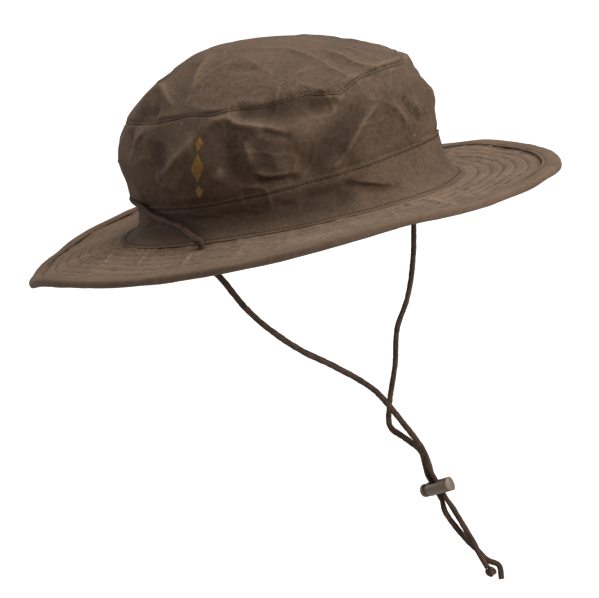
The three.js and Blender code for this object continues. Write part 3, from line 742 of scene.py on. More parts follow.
class ShaderEffects:
    """Shared effects as node groups, built once and placed in each material."""

    def __init__(self) -> None:
        """Builds the weave, mottling and lint groups."""
        self.weave = self.build_weave()
        self.mottle = self.build_mottle()
        self.lint = self.build_lint()

    def start(
        self, name: str, inputs: dict[str, float | None], outputs: tuple[str, ...]
    ) -> tuple[Tree, Node, Node]:
        """A new group.

        Args:
            name: the group's name.
            inputs: its inputs by name, with None for a vector and a default for a number.
            outputs: the names of its outputs, all numbers.

        Returns:
            The tree, its input node and its output node.
        """
        tree = bpy.data.node_groups.new(name, "ShaderNodeTree")
        for key, value in inputs.items():
            socket(tree, key, "Vector" if value is None else "Float", default=value)
        for key in outputs:
            socket(tree, key, "Float", output=True)
        return tree, add_node(tree, "NodeGroupInput"), add_node(tree, "NodeGroupOutput")

    def build_weave(self) -> Tree:
        """Crossing threads with slubs, in the cloth's own coordinates.

        Returns:
            A group with outputs Height and Threads, from 0 to 1.
        """
        inputs = {"Cloth": None, "Threads per metre": 1500.0}
        tree, entry, leave = self.start("Crossing threads", inputs, ("Height", "Threads"))
        layers = []
        for stretch in ((1.0, 0.14, 1.0), (0.14, 1.0, 1.0)):
            inputs = {0: entry.outputs["Cloth"], 1: stretch}
            scaled = add_node(tree, "ShaderNodeVectorMath", inputs, operation="MULTIPLY")
            scale = entry.outputs["Threads per metre"]
            layers.append(noise(tree, scaled.outputs[0], scale, 2.0, 0.6))
        height = math_node(tree, "MAXIMUM", *layers)
        threads = ramp(tree, math_node(tree, "ADD", *layers), 0.8, 1.25)
        set_inputs(tree, leave, {"Height": height, "Threads": threads})
        return tree

    def build_mottle(self) -> Tree:
        """Uneven wax and wear.

        Returns:
            A group with output Mottle, from 0 to 1.
        """
        inputs = {"Place": None, "Size": 45.0}
        tree, entry, leave = self.start("Uneven wax", inputs, ("Mottle",))
        broad = noise(tree, entry.outputs["Place"], entry.outputs["Size"], 3.0, 0.5, 0.15)
        set_inputs(tree, leave, {"Mottle": ramp(tree, broad, 0.3, 0.7)})
        return tree

    def build_lint(self) -> Tree:
        """A few tiny pale flecks, far apart.

        Returns:
            A group with output Fleck, 1 on a fleck.
        """
        inputs = {"Place": None, "Per metre": 90.0}
        tree, entry, leave = self.start("Lint flecks", inputs, ("Fleck",))
        inputs = {"Vector": entry.outputs["Place"], "Scale": entry.outputs["Per metre"]}
        cells = add_node(tree, "ShaderNodeTexVoronoi", inputs)
        near = ramp(tree, cells.outputs["Distance"], 0.05, 0.03)
        split = add_node(tree, "ShaderNodeSeparateColor", {0: cells.outputs["Color"]})
        rare = math_node(tree, "GREATER_THAN", split.outputs[0], 0.94)
        set_inputs(tree, leave, {"Fleck": math_node(tree, "MULTIPLY", near, rare)})
        return tree


def group(tree: Tree, effect: Tree, **inputs: object) -> Node:
    """Places a group in a material and sets its inputs, with _ standing for a space in names."""
    named = {key.replace("_", " "): value for key, value in inputs.items()}
    return add_node(tree, "ShaderNodeGroup", node_tree=effect, inputs=named)


def new_material(name: str) -> tuple[Material, Tree, Node]:
    """A material with a Principled BSDF linked to its output.

    Args:
        name: the material's name.

    Returns:
        The material, its tree and the shader's node.
    """
    made = bpy.data.materials.new(name)
    made.use_nodes = True
    tree = made.node_tree
    tree.nodes.clear()
    shader = add_node(tree, "ShaderNodeBsdfPrincipled")
    add_node(tree, "ShaderNodeOutputMaterial", {"Surface": shader.outputs[0]})
    return made, tree, shader


@dataclass(frozen=True)
class Finish:
    """A surface finish, whose material is built from its values."""

    name: str

    def build(self, effects: ShaderEffects) -> Material:
        """Builds the material.

        Args:
            effects: the shared groups.

        Returns:
            The finished material.
        """
        material, tree, shader = new_material(self.name)
        place = add_node(tree, "ShaderNodeTexCoord").outputs["Object"]
        set_inputs(tree, shader, self.look(tree, place, effects))
        return material

    def look(self, tree: Tree, place: Socket, effects: ShaderEffects) -> dict[str, object]:
        """The shader's inputs by name, from the object's coordinates and the shared groups."""
        raise NotImplementedError


@dataclass(frozen=True)
class WaxedCotton(Finish):
    """Matt brown cotton with wax: paler on worn folds and edges, with painted highlight on crests and
    raised folds and painted shade in creases and hollows.
    """

    middle: Colour = srgb(88, 70, 55)
    deep: Colour = srgb(66, 51, 40)
    # The paler colour of worn wax, also used as a painted highlight on crests and raised folds.
    rubbed_and_highlit: Colour = srgb(136, 111, 89)
    # The dark of broad hollows: gathered wax, and painted shade.
    wax_and_painted_shade: Colour = srgb(58, 42, 30)
    lint: Colour = srgb(152, 134, 114)
    threads: float = 2600.0
    # How much paler crests get: worn wax, and painted highlight.
    wear: float = 0.34
    # How strongly raised folds are painted lighter, a painted highlight.
    raised: float = 0.16

    def look(self, tree: Tree, place: Socket, effects: ShaderEffects) -> dict[str, object]:
        """Mottled cloth: paler crests and raised folds from wear and painted highlight; painted shade
        in creases, with wax in broad hollows.
        """
        cloth = add_node(tree, "ShaderNodeUVMap", uv_map="cloth").outputs[0]
        weave = group(tree, effects.weave, Cloth=cloth, Threads_per_metre=self.threads)
        mottle = group(tree, effects.mottle, Place=place, Size=26.0).outputs[0]
        speckle = group(tree, effects.mottle, Place=place, Size=420.0).outputs[0]
        lint = group(tree, effects.lint, Place=place, Per_metre=70.0).outputs[0]
        crest = add_node(tree, "ShaderNodeAttribute", attribute_name="crest").outputs["Fac"]
        depth = add_node(tree, "ShaderNodeAttribute", attribute_name="depth").outputs["Fac"]
        layers = (
            (speckle, 0.22, self.rubbed_and_highlit),
            (weave.outputs["Threads"], 0.16, self.rubbed_and_highlit),
            # Crests paler: worn wax, and a painted highlight.
            (ramp(tree, crest, 0.15, 1.2), self.wear, self.rubbed_and_highlit),
            # Painted shade: narrow creases and hollows darker.
            (ramp(tree, crest, -0.2, -1.5), 0.5, self.deep),
            # Broad hollows darker by their depth: painted shade, with wax.
            (ramp(tree, depth, -0.1, -1.3), 0.5, self.wax_and_painted_shade),
            # Painted highlight: raised folds paler.
            (ramp(tree, depth, 0.1, 1.0), self.raised, self.rubbed_and_highlit),
        )
        colour = mix_colour(tree, mottle, self.deep, self.middle)
        for mask, amount, shade in layers:
            colour = mix_colour(tree, math_node(tree, "MULTIPLY", mask, amount), colour, shade)
        broad = bump(tree, speckle, 0.12, 0.0006)
        return {
            "Base Color": mix_colour(tree, lint, colour, self.lint),
            "Roughness": math_node(tree, "MULTIPLY_ADD", mottle, 0.12, 0.72),
            "Specular IOR Level": 0.22,
            "Sheen Weight": 0.05,
            "Sheen Roughness": 0.45,
            "Sheen Tint": srgb(200, 180, 158),
            "Normal": bump(tree, weave.outputs["Height"], 0.5, 0.0003, Normal=broad),
        }


@dataclass(frozen=True)
class SewingThread(Finish):
    """Twisted thread."""

    shade: Colour
    light: Colour
    gloss: float = 0.45

    def look(self, tree: Tree, place: Socket, effects: ShaderEffects) -> dict[str, object]:
        """Thread with fine uneven twist."""
        mottle = group(tree, effects.mottle, Place=place, Size=900.0).outputs[0]
        return {
            "Base Color": mix_colour(tree, mottle, self.shade, self.light),
            "Roughness": math_node(tree, "MULTIPLY_ADD", mottle, 0.15, self.gloss),
            "Specular IOR Level": 0.25,
            "Normal": bump(tree, mottle, 0.4, 0.0002),
        }


@dataclass(frozen=True)
class RoughLeather(Finish):
    """Dark brown cord leather, napped, with reddish flecks."""

    name: str = "Rough cord leather"
    dark: Colour = srgb(56, 42, 33)
    middle: Colour = srgb(92, 70, 54)
    fleck: Colour = srgb(152, 108, 74)
    cut: Colour = srgb(128, 98, 72)

    def look(self, tree: Tree, place: Socket, effects: ShaderEffects) -> dict[str, object]:
        """Napped leather, pale where the attribute "cut" marks a cut end."""
        broad = group(tree, effects.mottle, Place=place, Size=160.0).outputs[0]
        grain = group(tree, effects.mottle, Place=place, Size=1300.0).outputs[0]
        fibre = noise(tree, place, 520.0, 5.0, 0.7)
        cut = add_node(tree, "ShaderNodeAttribute", attribute_name="cut").outputs["Fac"]
        layers = (
            (grain, 0.45, self.dark),
            (ramp(tree, fibre, 0.6, 0.72), 0.6, self.fleck),
            (cut, 1.0, self.cut),
        )
        colour = mix_colour(tree, broad, self.dark, self.middle)
        for mask, amount, shade in layers:
            colour = mix_colour(tree, math_node(tree, "MULTIPLY", mask, amount), colour, shade)
        return {
            "Base Color": colour,
            "Roughness": math_node(tree, "MULTIPLY_ADD", broad, 0.2, 0.6),
            "Specular IOR Level": 0.2,
            "Normal": bump(tree, fibre, 0.7, 0.0004),
        }


@dataclass(frozen=True)
class LockPlastic(Finish):
    """Grey-brown moulded plastic, a little scuffed."""

    name: str = "Cord lock plastic"
    shade: Colour = srgb(120, 101, 85)
    light: Colour = srgb(131, 112, 96)

    def look(self, tree: Tree, place: Socket, effects: ShaderEffects) -> dict[str, object]:
        """Plastic with scuffs and a fine grain."""
        scuff = group(tree, effects.mottle, Place=place, Size=380.0).outputs[0]
        grain = group(tree, effects.mottle, Place=place, Size=2600.0).outputs[0]
        return {
            "Base Color": mix_colour(tree, scuff, self.shade, self.light),
            "Roughness": math_node(tree, "MULTIPLY_ADD", scuff, 0.16, 0.34),
            "Normal": bump(tree, grain, 0.2, 0.0001),
        }


class StitchTrees:
    """Geometry Nodes trees that lay thread along seams."""

    def __init__(self) -> None:
        """Builds the running stitch and the satin stitch."""
        self.running = self.build_running()
        self.satin = self.build_satin()

    def start(self, name: str, sizes: dict[str, float]) -> tuple[Tree, Node]:
        """A tree with Geometry in and out, a Material, a Seed, and named sizes."""
        tree = bpy.data.node_groups.new(name, "GeometryNodeTree")
        tree.is_modifier = True
        socket(tree, "Geometry", "Geometry")
        for key, value in sizes.items():
            socket(tree, key, "Float", default=value)
        socket(tree, "Seed", "Int", default=1)
        socket(tree, "Material", "Material")
        socket(tree, "Geometry", "Geometry", output=True)
        return tree, add_node(tree, "NodeGroupInput")

    def capsule(self, tree: Tree, radius: Socket) -> Socket:
        """One stitch, a rounded thread 1 m long along X, to be scaled."""
        inputs = {"Segments": 6, "Rings": 5, "Radius": 0.5}
        ball = add_node(tree, "GeometryNodeMeshUVSphere", inputs)
        size = add_node(tree, "ShaderNodeCombineXYZ", {0: radius, 1: radius, 2: 1.0})
        inputs = {"Geometry": ball.outputs[0], "Scale": size.outputs[0]}
        shaped = add_node(tree, "GeometryNodeTransform", inputs)
        inputs = {"Geometry": shaped.outputs[0], "Rotation": (0.0, math.pi / 2, 0.0)}
        return add_node(tree, "GeometryNodeTransform", inputs).outputs[0]

    def facing(self, tree: Tree, way: Socket) -> Socket:
        """The turn that lays a stitch along a direction."""
        inputs = {"Vector": way}
        return add_node(tree, "FunctionNodeAlignRotationToVector", inputs, axis="X").outputs[0]

    def random(self, tree: Tree, entry: Node, low: Socket, high: Socket) -> Socket:
        """A number for each stitch, picked by the tree's Seed."""
        inputs = {2: low, 3: high, "Seed": entry.outputs["Seed"]}
        return add_node(tree, "FunctionNodeRandomValue", inputs, data_type="FLOAT").outputs[1]

    def named(self, tree: Tree, name: str, kind: str) -> Socket:
        """An attribute of the tree's points."""
        inputs = {"Name": name}
        return add_node(tree, "GeometryNodeInputNamedAttribute", inputs, data_type=kind).outputs[0]

    def finish(self, tree: Tree, entry: Node, inputs: dict[object, object]) -> Tree:
        """Places the stitches and makes them real, smooth and of their material."""
        stitches = add_node(tree, "GeometryNodeInstanceOnPoints", inputs)
        real = add_node(tree, "GeometryNodeRealizeInstances", {0: stitches.outputs[0]})
        smooth = add_node(tree, "GeometryNodeSetShadeSmooth", {0: real.outputs[0]})
        inputs = {"Geometry": smooth.outputs[0], "Material": entry.outputs["Material"]}
        dressed = add_node(tree, "GeometryNodeSetMaterial", inputs)
        add_node(tree, "NodeGroupOutput", {0: dressed.outputs[0]})
        return tree

    def build_running(self) -> Tree:
        """Stitches laid end to end along a line of edges.

        Returns:
            The tree, with inputs Pitch, Length, Thickness and Slant.
        """
        sizes = {"Pitch": 0.003, "Length": 0.0024, "Thickness": 0.0005, "Slant": 0.12}
        tree, entry = self.start("Running stitch", sizes)
        line = add_node(tree, "GeometryNodeMeshToCurve", {0: entry.outputs["Geometry"]})
        inputs = {"Curve": line.outputs[0], "Length": entry.outputs["Pitch"]}
        even = add_node(tree, "GeometryNodeResampleCurve", inputs, mode="LENGTH")
        share = math_node(tree, "DIVIDE", entry.outputs["Thickness"], entry.outputs["Length"])
        facing = self.facing(tree, add_node(tree, "GeometryNodeInputTangent").outputs[0])
        minus = math_node(tree, "MULTIPLY", entry.outputs["Slant"], -1.0)
        sway = self.random(tree, entry, minus, entry.outputs["Slant"])
        lean = add_node(tree, "ShaderNodeCombineXYZ", {2: sway})
        inputs = {0: facing, 1: lean.outputs[0]}
        turned = add_node(tree, "FunctionNodeRotateRotation", inputs, rotation_space="LOCAL")
        inputs = {
            "Points": even.outputs[0],
            "Instance": self.capsule(tree, share),
            "Rotation": turned.outputs[0],
            "Scale": entry.outputs["Length"],
        }
        return self.finish(tree, entry, inputs)

    def build_satin(self) -> Tree:
        """Threads side by side, each at a point that knows its length and direction.

        Returns:
            The tree, with input Thickness.
        """
        tree, entry = self.start("Satin stitch", {"Thickness": 0.00045})
        along = self.named(tree, "direction", "FLOAT_VECTOR")
        reach = self.named(tree, "reach", "FLOAT")
        facing = self.facing(tree, along)
        low, high = (
            math_node(tree, "MULTIPLY", entry.outputs["Thickness"], share)
            for share in (0.85, 1.15)
        )
        thick = self.random(tree, entry, low, high)
        size = add_node(tree, "ShaderNodeCombineXYZ", {0: reach, 1: thick, 2: thick})
        one = add_node(tree, "ShaderNodeValue")
        one.outputs[0].default_value = 1.0
        points = add_node(tree, "GeometryNodeMeshToPoints", {0: entry.outputs["Geometry"]})
        inputs = {
            "Points": points.outputs[0],
            "Instance": self.capsule(tree, one.outputs[0]),
            "Rotation": facing,
            "Scale": size.outputs[0],
        }
        return self.finish(tree, entry, inputs)


def sew(name: str, source: Mesh, tree: Tree, material: Material, sizes: dict[str, float]) -> Piece:
    """Runs a stitch tree on a mesh of lines or points and keeps the result as a plain mesh.

    Args:
        name: the finished piece's name.
        source: the mesh that holds the seam's lines or points.
        tree: the stitch tree.
        material: the thread's material.
        sizes: the tree's inputs by name.

    Returns:
        The stitches' object.
    """
    guide = new_object(name + "_guide", source)
    modifier = guide.modifiers.new("Stitches", "NODES")
    modifier.node_group = tree
    keys = {s.name: s.identifier for s in tree.interface.items_tree if s.in_out == "INPUT"}
    for key, value in {**sizes, "Material": material}.items():
        modifier[keys[key]] = value
    mesh = evaluated_mesh(guide)
    bpy.data.objects.remove(guide)
    mesh.name = name
    return new_object(name, mesh)


def lines_mesh(name: str, lines: list[Array]) -> Mesh:
    """A mesh of closed rings of edges, one for each line."""
    edges, first = [], 0
    for line in lines:
        count = len(line)
        edges += [(first + k, first + (k + 1) % count) for k in range(count)]
        first += count
    return new_mesh(name, np.concatenate(lines).tolist(), [], edges)


@dataclass
class Crown:
    """The crown: its side, its domed top and the band round its foot."""

    cloth: CrownCloth
    columns: int = 600
    side_rows: int = 72
    band_rows: int = 44
    stitch_pitch: float = 0.0027
    thread: float = 0.00064
    thread_sink: float = 0.0002
    top_row: float = 0.0013
    band_row: float = 0.0016
    collar_row: float = 0.0036
    top_dent: float = 0.00025
    band_dent: float = 0.00055
    band_edge: float = 0.0005
    collar_dent: float = 0.00035
    lap_share: float = 0.7
    chart_radius: float = 0.094
    crest_unit: float = 0.0006
    depth_unit: float = 0.004

    @property
    def form(self) -> HatForm:
        """The hat's main surfaces."""
        return self.cloth.form

    @property
    def angle(self) -> Array:
        """The angles of the columns round the hat."""
        return turns(self.columns)

    def wall(
        self, name: str, ups: Array, insets: Array, thick: float, thin_rows: int, flat: bool = False
    ) -> Piece:
        """A cloth wall between an outer face and an inner one, with rounded edges.

        Args:
            name: the piece's name.
            ups: heights of the outer rows by column and row, from the bottom up.
            insets: depth of the outer rows below the crown's face, like ups.
            thick: thickness of the cloth.
            thin_rows: the inner face keeps every row of this number.
            flat: whether the weave is that of a flat panel and not of a strip.

        Returns:
            The piece's object.
        """
        angle = self.angle[:, None]
        outer = self.cloth.surface(angle, ups, insets)
        keep = np.unique(np.append(np.arange(0, ups.shape[1], thin_rows), ups.shape[1] - 1))
        inner = self.cloth.surface(angle, ups[:, keep], insets[:, keep] + thick)
        poles = bool(np.all(ups[:, -1] == 2))
        if poles:
            sections = np.concatenate([inner[:, ::-1], self.edge(inner, outer, 0), outer], 1)
        else:
            bottom, top = self.edge(inner, outer, 0), self.edge(inner, outer, -1)[:, ::-1]
            sections = np.concatenate([outer, top, inner[:, ::-1], bottom], 1)
        # Crest and fold depth steer the material's wear, painted highlight and painted shade.
        crest = crest_of(sections, 3, poles) / self.crest_unit
        depth = np.zeros(sections.shape[:2])
        shown = slice(-ups.shape[1], None) if poles else slice(0, ups.shape[1])
        depth[:, shown] = self.cloth.fold_shift(self.form.skin(angle, ups)) / self.depth_unit
        run = run_along(sections).mean(0)
        chart = chart_flat(sections) if flat else chart_round(self.angle, run, self.chart_radius)
        return swept_mesh(name, sections, chart, {"crest": crest, "depth": depth}, poles)

    def edge(self, inner: Array, outer: Array, row: int) -> Array:
        """Two rows that round a cloth's edge, from its inner face to its outer one."""
        a, b = inner[:, row], outer[:, row]
        other = 1 if row == 0 else -2
        away = outer[:, row] - outer[:, other]
        away /= np.linalg.norm(away, axis=-1, keepdims=True) + 1e-12
        bulge = np.linalg.norm(b - a, axis=-1, keepdims=True) * 0.3
        return np.stack([a * 0.75 + b * 0.25 + away * bulge, a * 0.25 + b * 0.75 + away * bulge], 1)

    def lap(self, angle: Array) -> Array:
        """The height from the top's edge to the corner, as a share of the side."""
        degrees, rises = np.array(SEAM_WAVE).T
        wave = np.interp(np.degrees(angle) % 360, degrees, rises * MM, period=360)
        return (self.form.seam_lap - wave) / self.form.side_height(angle)

    def build_side(self) -> Piece:
        """The crown's wall, from inside the band up to the top's seam."""
        form, angle = self.form, self.angle[:, None]
        height = form.side_height(angle)
        lap = self.lap(angle)
        behind = form.cloth + form.play
        band = form.band_height * form.around("band", angle)
        tuck = np.sqrt(1 - form.band_tuck / band) - 1
        last = 1 - lap + self.lap_share * form.seam_lap / height
        rows = np.linspace(0, 1, self.side_rows)[None, :]
        ups = np.concatenate([tuck, tuck * 0.5, rows * last], 1)
        lip = form.band_lip / height
        out_of_band = smoothstep(lip, 0.09, ups)
        under_top = smoothstep(1 - lap - form.lap_step / height, 1 - lap, ups)
        insets = behind * (1 - out_of_band + under_top)
        return self.wall("crown_side_cloth", ups, insets, form.cloth, 3)

    def build_top(self) -> Piece:
        """The domed top, its edge lapped over the side and pressed down by its stitches."""
        angle = self.angle[:, None]
        lap = self.lap(angle)
        first = 1 - lap
        shares = np.concatenate([np.linspace(0, 0.2, 18), np.linspace(0.2, 1, 52)[1:]])
        ups = first + (2 - first) * shares[None, :]
        from_edge = (ups - first) * self.form.side_height(angle)
        pulled = hump(from_edge - self.top_row, 0.0006) - hump(from_edge - 0.003, 0.0012)
        dent = self.top_dent * pulled
        return self.wall("crown_top_cloth", ups, dent, self.form.cloth, 3, flat=True)

    def build_band(self) -> Piece:
        """The band round the crown's foot, with a flared collar that lies on the brim."""
        angle = self.angle[:, None]
        shape = (self.columns, self.band_rows)
        ups = np.broadcast_to(np.linspace(-1, 0, self.band_rows)[None, :], shape)
        run = run_along(self.form.skin(angle, ups))
        from_top = run[:, -1:] - run
        dent = self.band_dent * hump(from_top - self.band_row, 0.0008)
        dent = dent - self.band_edge * hump(from_top, 0.001)
        dent = dent + self.collar_dent * hump(run - self.collar_row, 0.0007)
        return self.wall("crown_band_cloth", ups, dent, self.form.cloth, 3)

    def build_stitches(self, trees: StitchTrees, thread: Material) -> list[Piece]:
        """The crown's three rows of topstitching.

        Args:
            trees: the stitch trees.
            thread: the thread's material.

        Returns:
            One object for each row.
        """
        side = self.form.side_height(self.angle)
        lap = self.lap(self.angle)
        levels = np.linspace(-1, 0, 60)
        run = run_along(self.form.skin(self.angle[:, None], levels[None, :]))
        under_edge = np.array([np.interp(r[-1] - self.band_row, r, levels) for r in run])
        collar = np.array([np.interp(self.collar_row, r, levels) for r in run])
        places = {
            "stitches_crown_top": 1 - lap + self.top_row / side,
            "stitches_band_top": under_edge,
            "stitches_collar": collar,
        }
        sizes = {
            "Pitch": self.stitch_pitch,
            "Length": self.stitch_pitch * 0.8,
            "Thickness": self.thread,
            "Slant": 0.15,
            "Seed": 4,
        }
        made = []
        for name, up in places.items():
            line = self.cloth.surface(self.angle, up, self.thread_sink)
            made.append(sew(name, lines_mesh(name, [line]), trees.running, thread, sizes))
        return made


@dataclass
class Brim:
    """The quilted brim, its cord holes, its stitching and its bound edge."""

    form: HatForm
    columns: int = 640
    sheet_rows: int = 76
    first_row: float = 0.0145
    row_pitch: float = 0.0073
    quilt_rows: int = 6
    quilt_depth: float = 0.0006
    quilt_half: float = 0.0011
    pucker_height: float = 0.00042
    swell_height: float = 0.0004
    spoke_height: float = 0.0004
    stitch_pitch: float = 0.0028
    thread: float = 0.00045
    crest_unit: float = 0.0004
    crease_unit: float = 0.0007
    chart_radius: float = 0.15
    below_share: float = 0.8
    binding_row: float = 0.0019
    binding_dent: float = 0.0004
    binding_swell: float = 0.00035
    rim_round: float = 0.0003

    @cached_property
    def folds(self) -> list[Fold]:
        """The brim's creases as lines seen from above, in metres."""
        made = []
        for path, half, height, crease in BRIM_FOLDS:
            places = smooth_route(np.array([(d, out, 0) for d, out in path], float), 2.0)
            line = self.flat(np.radians(places[:, 0]), places[:, 1] * MM)
            made.append((line, half * MM, height * MM, crease))
        return made

    @property
    def angle(self) -> Array:
        """The angles of the columns round the hat."""
        return turns(self.columns)

    @property
    def rows(self) -> Array:
        """How far out each quilting row lies."""
        return self.first_row + self.row_pitch * np.arange(self.quilt_rows)

    def relief(self, angle: Array, out: Array) -> Array:
        """The quilted cloth's height: grooves at the rows, and puckers between them."""
        flat = self.flat(angle, out)
        groove = sum(hump(out - row, self.quilt_half) for row in self.rows)
        polar = np.stack([out * 0.8, np.unwrap(angle, axis=0) * 0.14, 0 * out], -1)
        pucker = smooth_noise(polar, 0.0045, 21) * self.pucker_height
        pucker = pucker + smooth_noise(flat, 0.011, 22) * self.swell_height
        spokes = np.clip(1 - np.abs(smooth_noise(polar * [0.25, 1, 1], 0.012, 23)) * 5, 0, 1)
        fade = smoothstep(0.006, 0.014, out)
        quilting = pucker + spokes * self.spoke_height - groove * self.quilt_depth
        return fade * quilting + self.crease(angle, out)

    def flat(self, angle: Array, out: Array) -> Array:
        """Places seen from above, at height 0."""
        x, y = self.form.plan(angle, out)
        return np.stack([x, y, np.zeros_like(x)], -1)

    def crease(self, angle: Array, out: Array) -> Array:
        """How far the pressed creases lift the brim."""
        return fold_height(self.flat(angle, out), self.folds)

    def build_sheet(self) -> Piece:
        """The brim's cloth, sewn through in rings, with a hole on each side for the cord."""
        angle = self.angle[:, None]
        edge = self.form.brim_edge(angle)
        shares = np.linspace(1, 0, self.sheet_rows)[None, :]
        outs = -self.form.head_margin + (edge + self.form.head_margin) * shares
        relief = self.relief(np.broadcast_to(angle, outs.shape), outs)
        upper = self.form.brim_point(angle, outs, relief)
        below = -self.form.brim_thick - relief * self.below_share
        lower = self.form.brim_point(angle, outs, below)[:, ::-1]
        sections = np.concatenate([upper, lower], 1)
        # Crest and crease lift steer the brim's wear, painted highlight on creases and painted shade
        # in hollows.
        crest = crest_of(sections, 2) / self.crest_unit
        raised = self.crease(np.broadcast_to(angle, outs.shape), outs) / self.crease_unit
        layers = {"crest": crest, "depth": np.concatenate([raised, raised[:, ::-1]], 1)}
        made = swept_mesh("brim_cloth", sections, chart_flat(sections), layers)
        for side in (-1, 1):
            self.cut_hole(made, side)
        return made

    def cut_hole(self, sheet: Piece, side: int) -> None:
        """Cuts a round hole for the cord, on the right for -1 and the left for 1."""
        x, y = self.form.plan(side * math.radians(self.form.hole_degrees), self.form.hole_out)
        drill = bmesh.new()
        bmesh.ops.create_cone(
            drill,
            cap_ends=True,
            segments=32,
            radius1=self.form.hole / 2,
            radius2=self.form.hole / 2,
            depth=0.02,
            matrix=Matrix.Translation((float(x), float(y), 0)),
        )
        mesh = bpy.data.meshes.new("drill")
        drill.to_mesh(mesh)
        drill.free()
        cutter = new_object("drill", mesh)
        cut_with(sheet, cutter, "DIFFERENCE", "MANIFOLD")
        cut = evaluated_mesh(sheet)
        sheet.modifiers.clear()
        old, sheet.data = sheet.data, cut
        bpy.data.meshes.remove(old)
        bpy.data.objects.remove(cutter)

    def build_binding(self) -> Piece:
        """The cloth folded round the brim's edge and sewn through."""
        form, angle = self.form, self.angle[:, None]
        edge = form.brim_edge(angle)
        inner = edge + form.play
        outer = inner + form.binding_cloth
        flange = outer + form.binding_roll - form.binding_width
        under = -form.brim_thick - form.play
        high, low = form.play + form.binding_cloth, under - form.binding_cloth
        middle, half = (high + low) / 2, (high - low) / 2
        flat = np.linspace(0, 1, 14)
        turn = np.linspace(-np.pi / 2, np.pi / 2, 13)[1:-1]
        start = outer - form.binding_cloth
        bulge = form.binding_cloth + form.binding_roll
        seam = hump(flat * form.binding_width - self.binding_row, 0.0007)
        soft = self.binding_dent * seam * np.ones_like(angle)
        swell = np.sin(np.pi * np.clip(flat * 1.25 - 0.25, 0, 1)) * np.ones_like(angle)
        swell = self.binding_swell * swell
        bottom_out = flange + (start - flange) * flat
        bottom = np.broadcast_to(low, bottom_out.shape) + soft - swell
        round_out = start + bulge * np.cos(turn)
        round_lift = middle + half * np.sin(turn) * np.ones_like(angle)
        top_out = bottom_out[:, ::-1]
        top = (np.broadcast_to(high, bottom_out.shape) - soft + swell)[:, ::-1]
        rim = np.concatenate([flange - self.rim_round] * 2, 1)
        rim_top = np.broadcast_to([high - self.rim_round, form.play + 0.0002], rim.shape)
        fold_out = np.concatenate([flange, inner, inner, flange], 1)
        fold = np.broadcast_to([form.play, form.play, under, under], fold_out.shape)
        rim_low = np.broadcast_to([under - 0.0002, low + self.rim_round], rim.shape)
        outs = np.concatenate([bottom_out, round_out, top_out, rim, fold_out, rim], 1)
        lifts = np.concatenate([bottom, round_lift, top, rim_top, fold, rim_low], 1)
        shown = outs.shape[1] - 8
        wave = np.stack([angle * 0.14 + 0 * outs, outs, lifts], -1)
        uneven = smooth_noise(wave, 0.006, 31) * 0.00018 + smooth_noise(wave, 0.02, 32) * 0.00025
        uneven[:, shown:] = 0
        upward = np.where(lifts > middle, 1, -1)
        sections = form.brim_point(angle, outs, lifts + uneven * upward)
        # The binding's weakened crest steers its wear, painted highlight and painted shade.
        crest = crest_of(sections, 2) / self.crest_unit * 0.3
        chart = chart_round(self.angle, run_along(sections).mean(0), self.chart_radius)
        return swept_mesh("brim_binding_cloth", sections, chart, {"crest": crest})

    def build_stitches(self, trees: StitchTrees, thread: Material) -> list[Piece]:
        """The quilting rows and the binding's row, above and below.

        Args:
            trees: the stitch trees.
            thread: the thread's material.

        Returns:
            The stitches above and those below.
        """
        form, angle = self.form, self.angle
        sizes = {
            "Pitch": self.stitch_pitch,
            "Length": self.stitch_pitch * 0.78,
            "Thickness": self.thread,
            "Slant": 0.1,
            "Seed": 9,
        }
        made = []
        outer = form.brim_edge(angle) + form.play + form.binding_cloth
        flange = outer + form.binding_roll - form.binding_width
        bound = form.play + form.binding_cloth - 0.00025
        for name, sign in (("stitches_brim_upper", 1), ("stitches_brim_lower", -1)):
            lines = []
            for row in self.rows:
                relief = self.relief(angle[:, None], np.full((len(angle), 1), row))[:, 0]
                lift = relief if sign > 0 else -form.brim_thick - relief * self.below_share
                lines.append(form.brim_point(angle, row, lift + sign * 0.00005))
            lift = bound if sign > 0 else -form.brim_thick - bound
            lines.append(form.brim_point(angle, flange + self.binding_row, lift))
            made.append(sew(name, lines_mesh(name, lines), trees.running, thread, sizes))
        return made


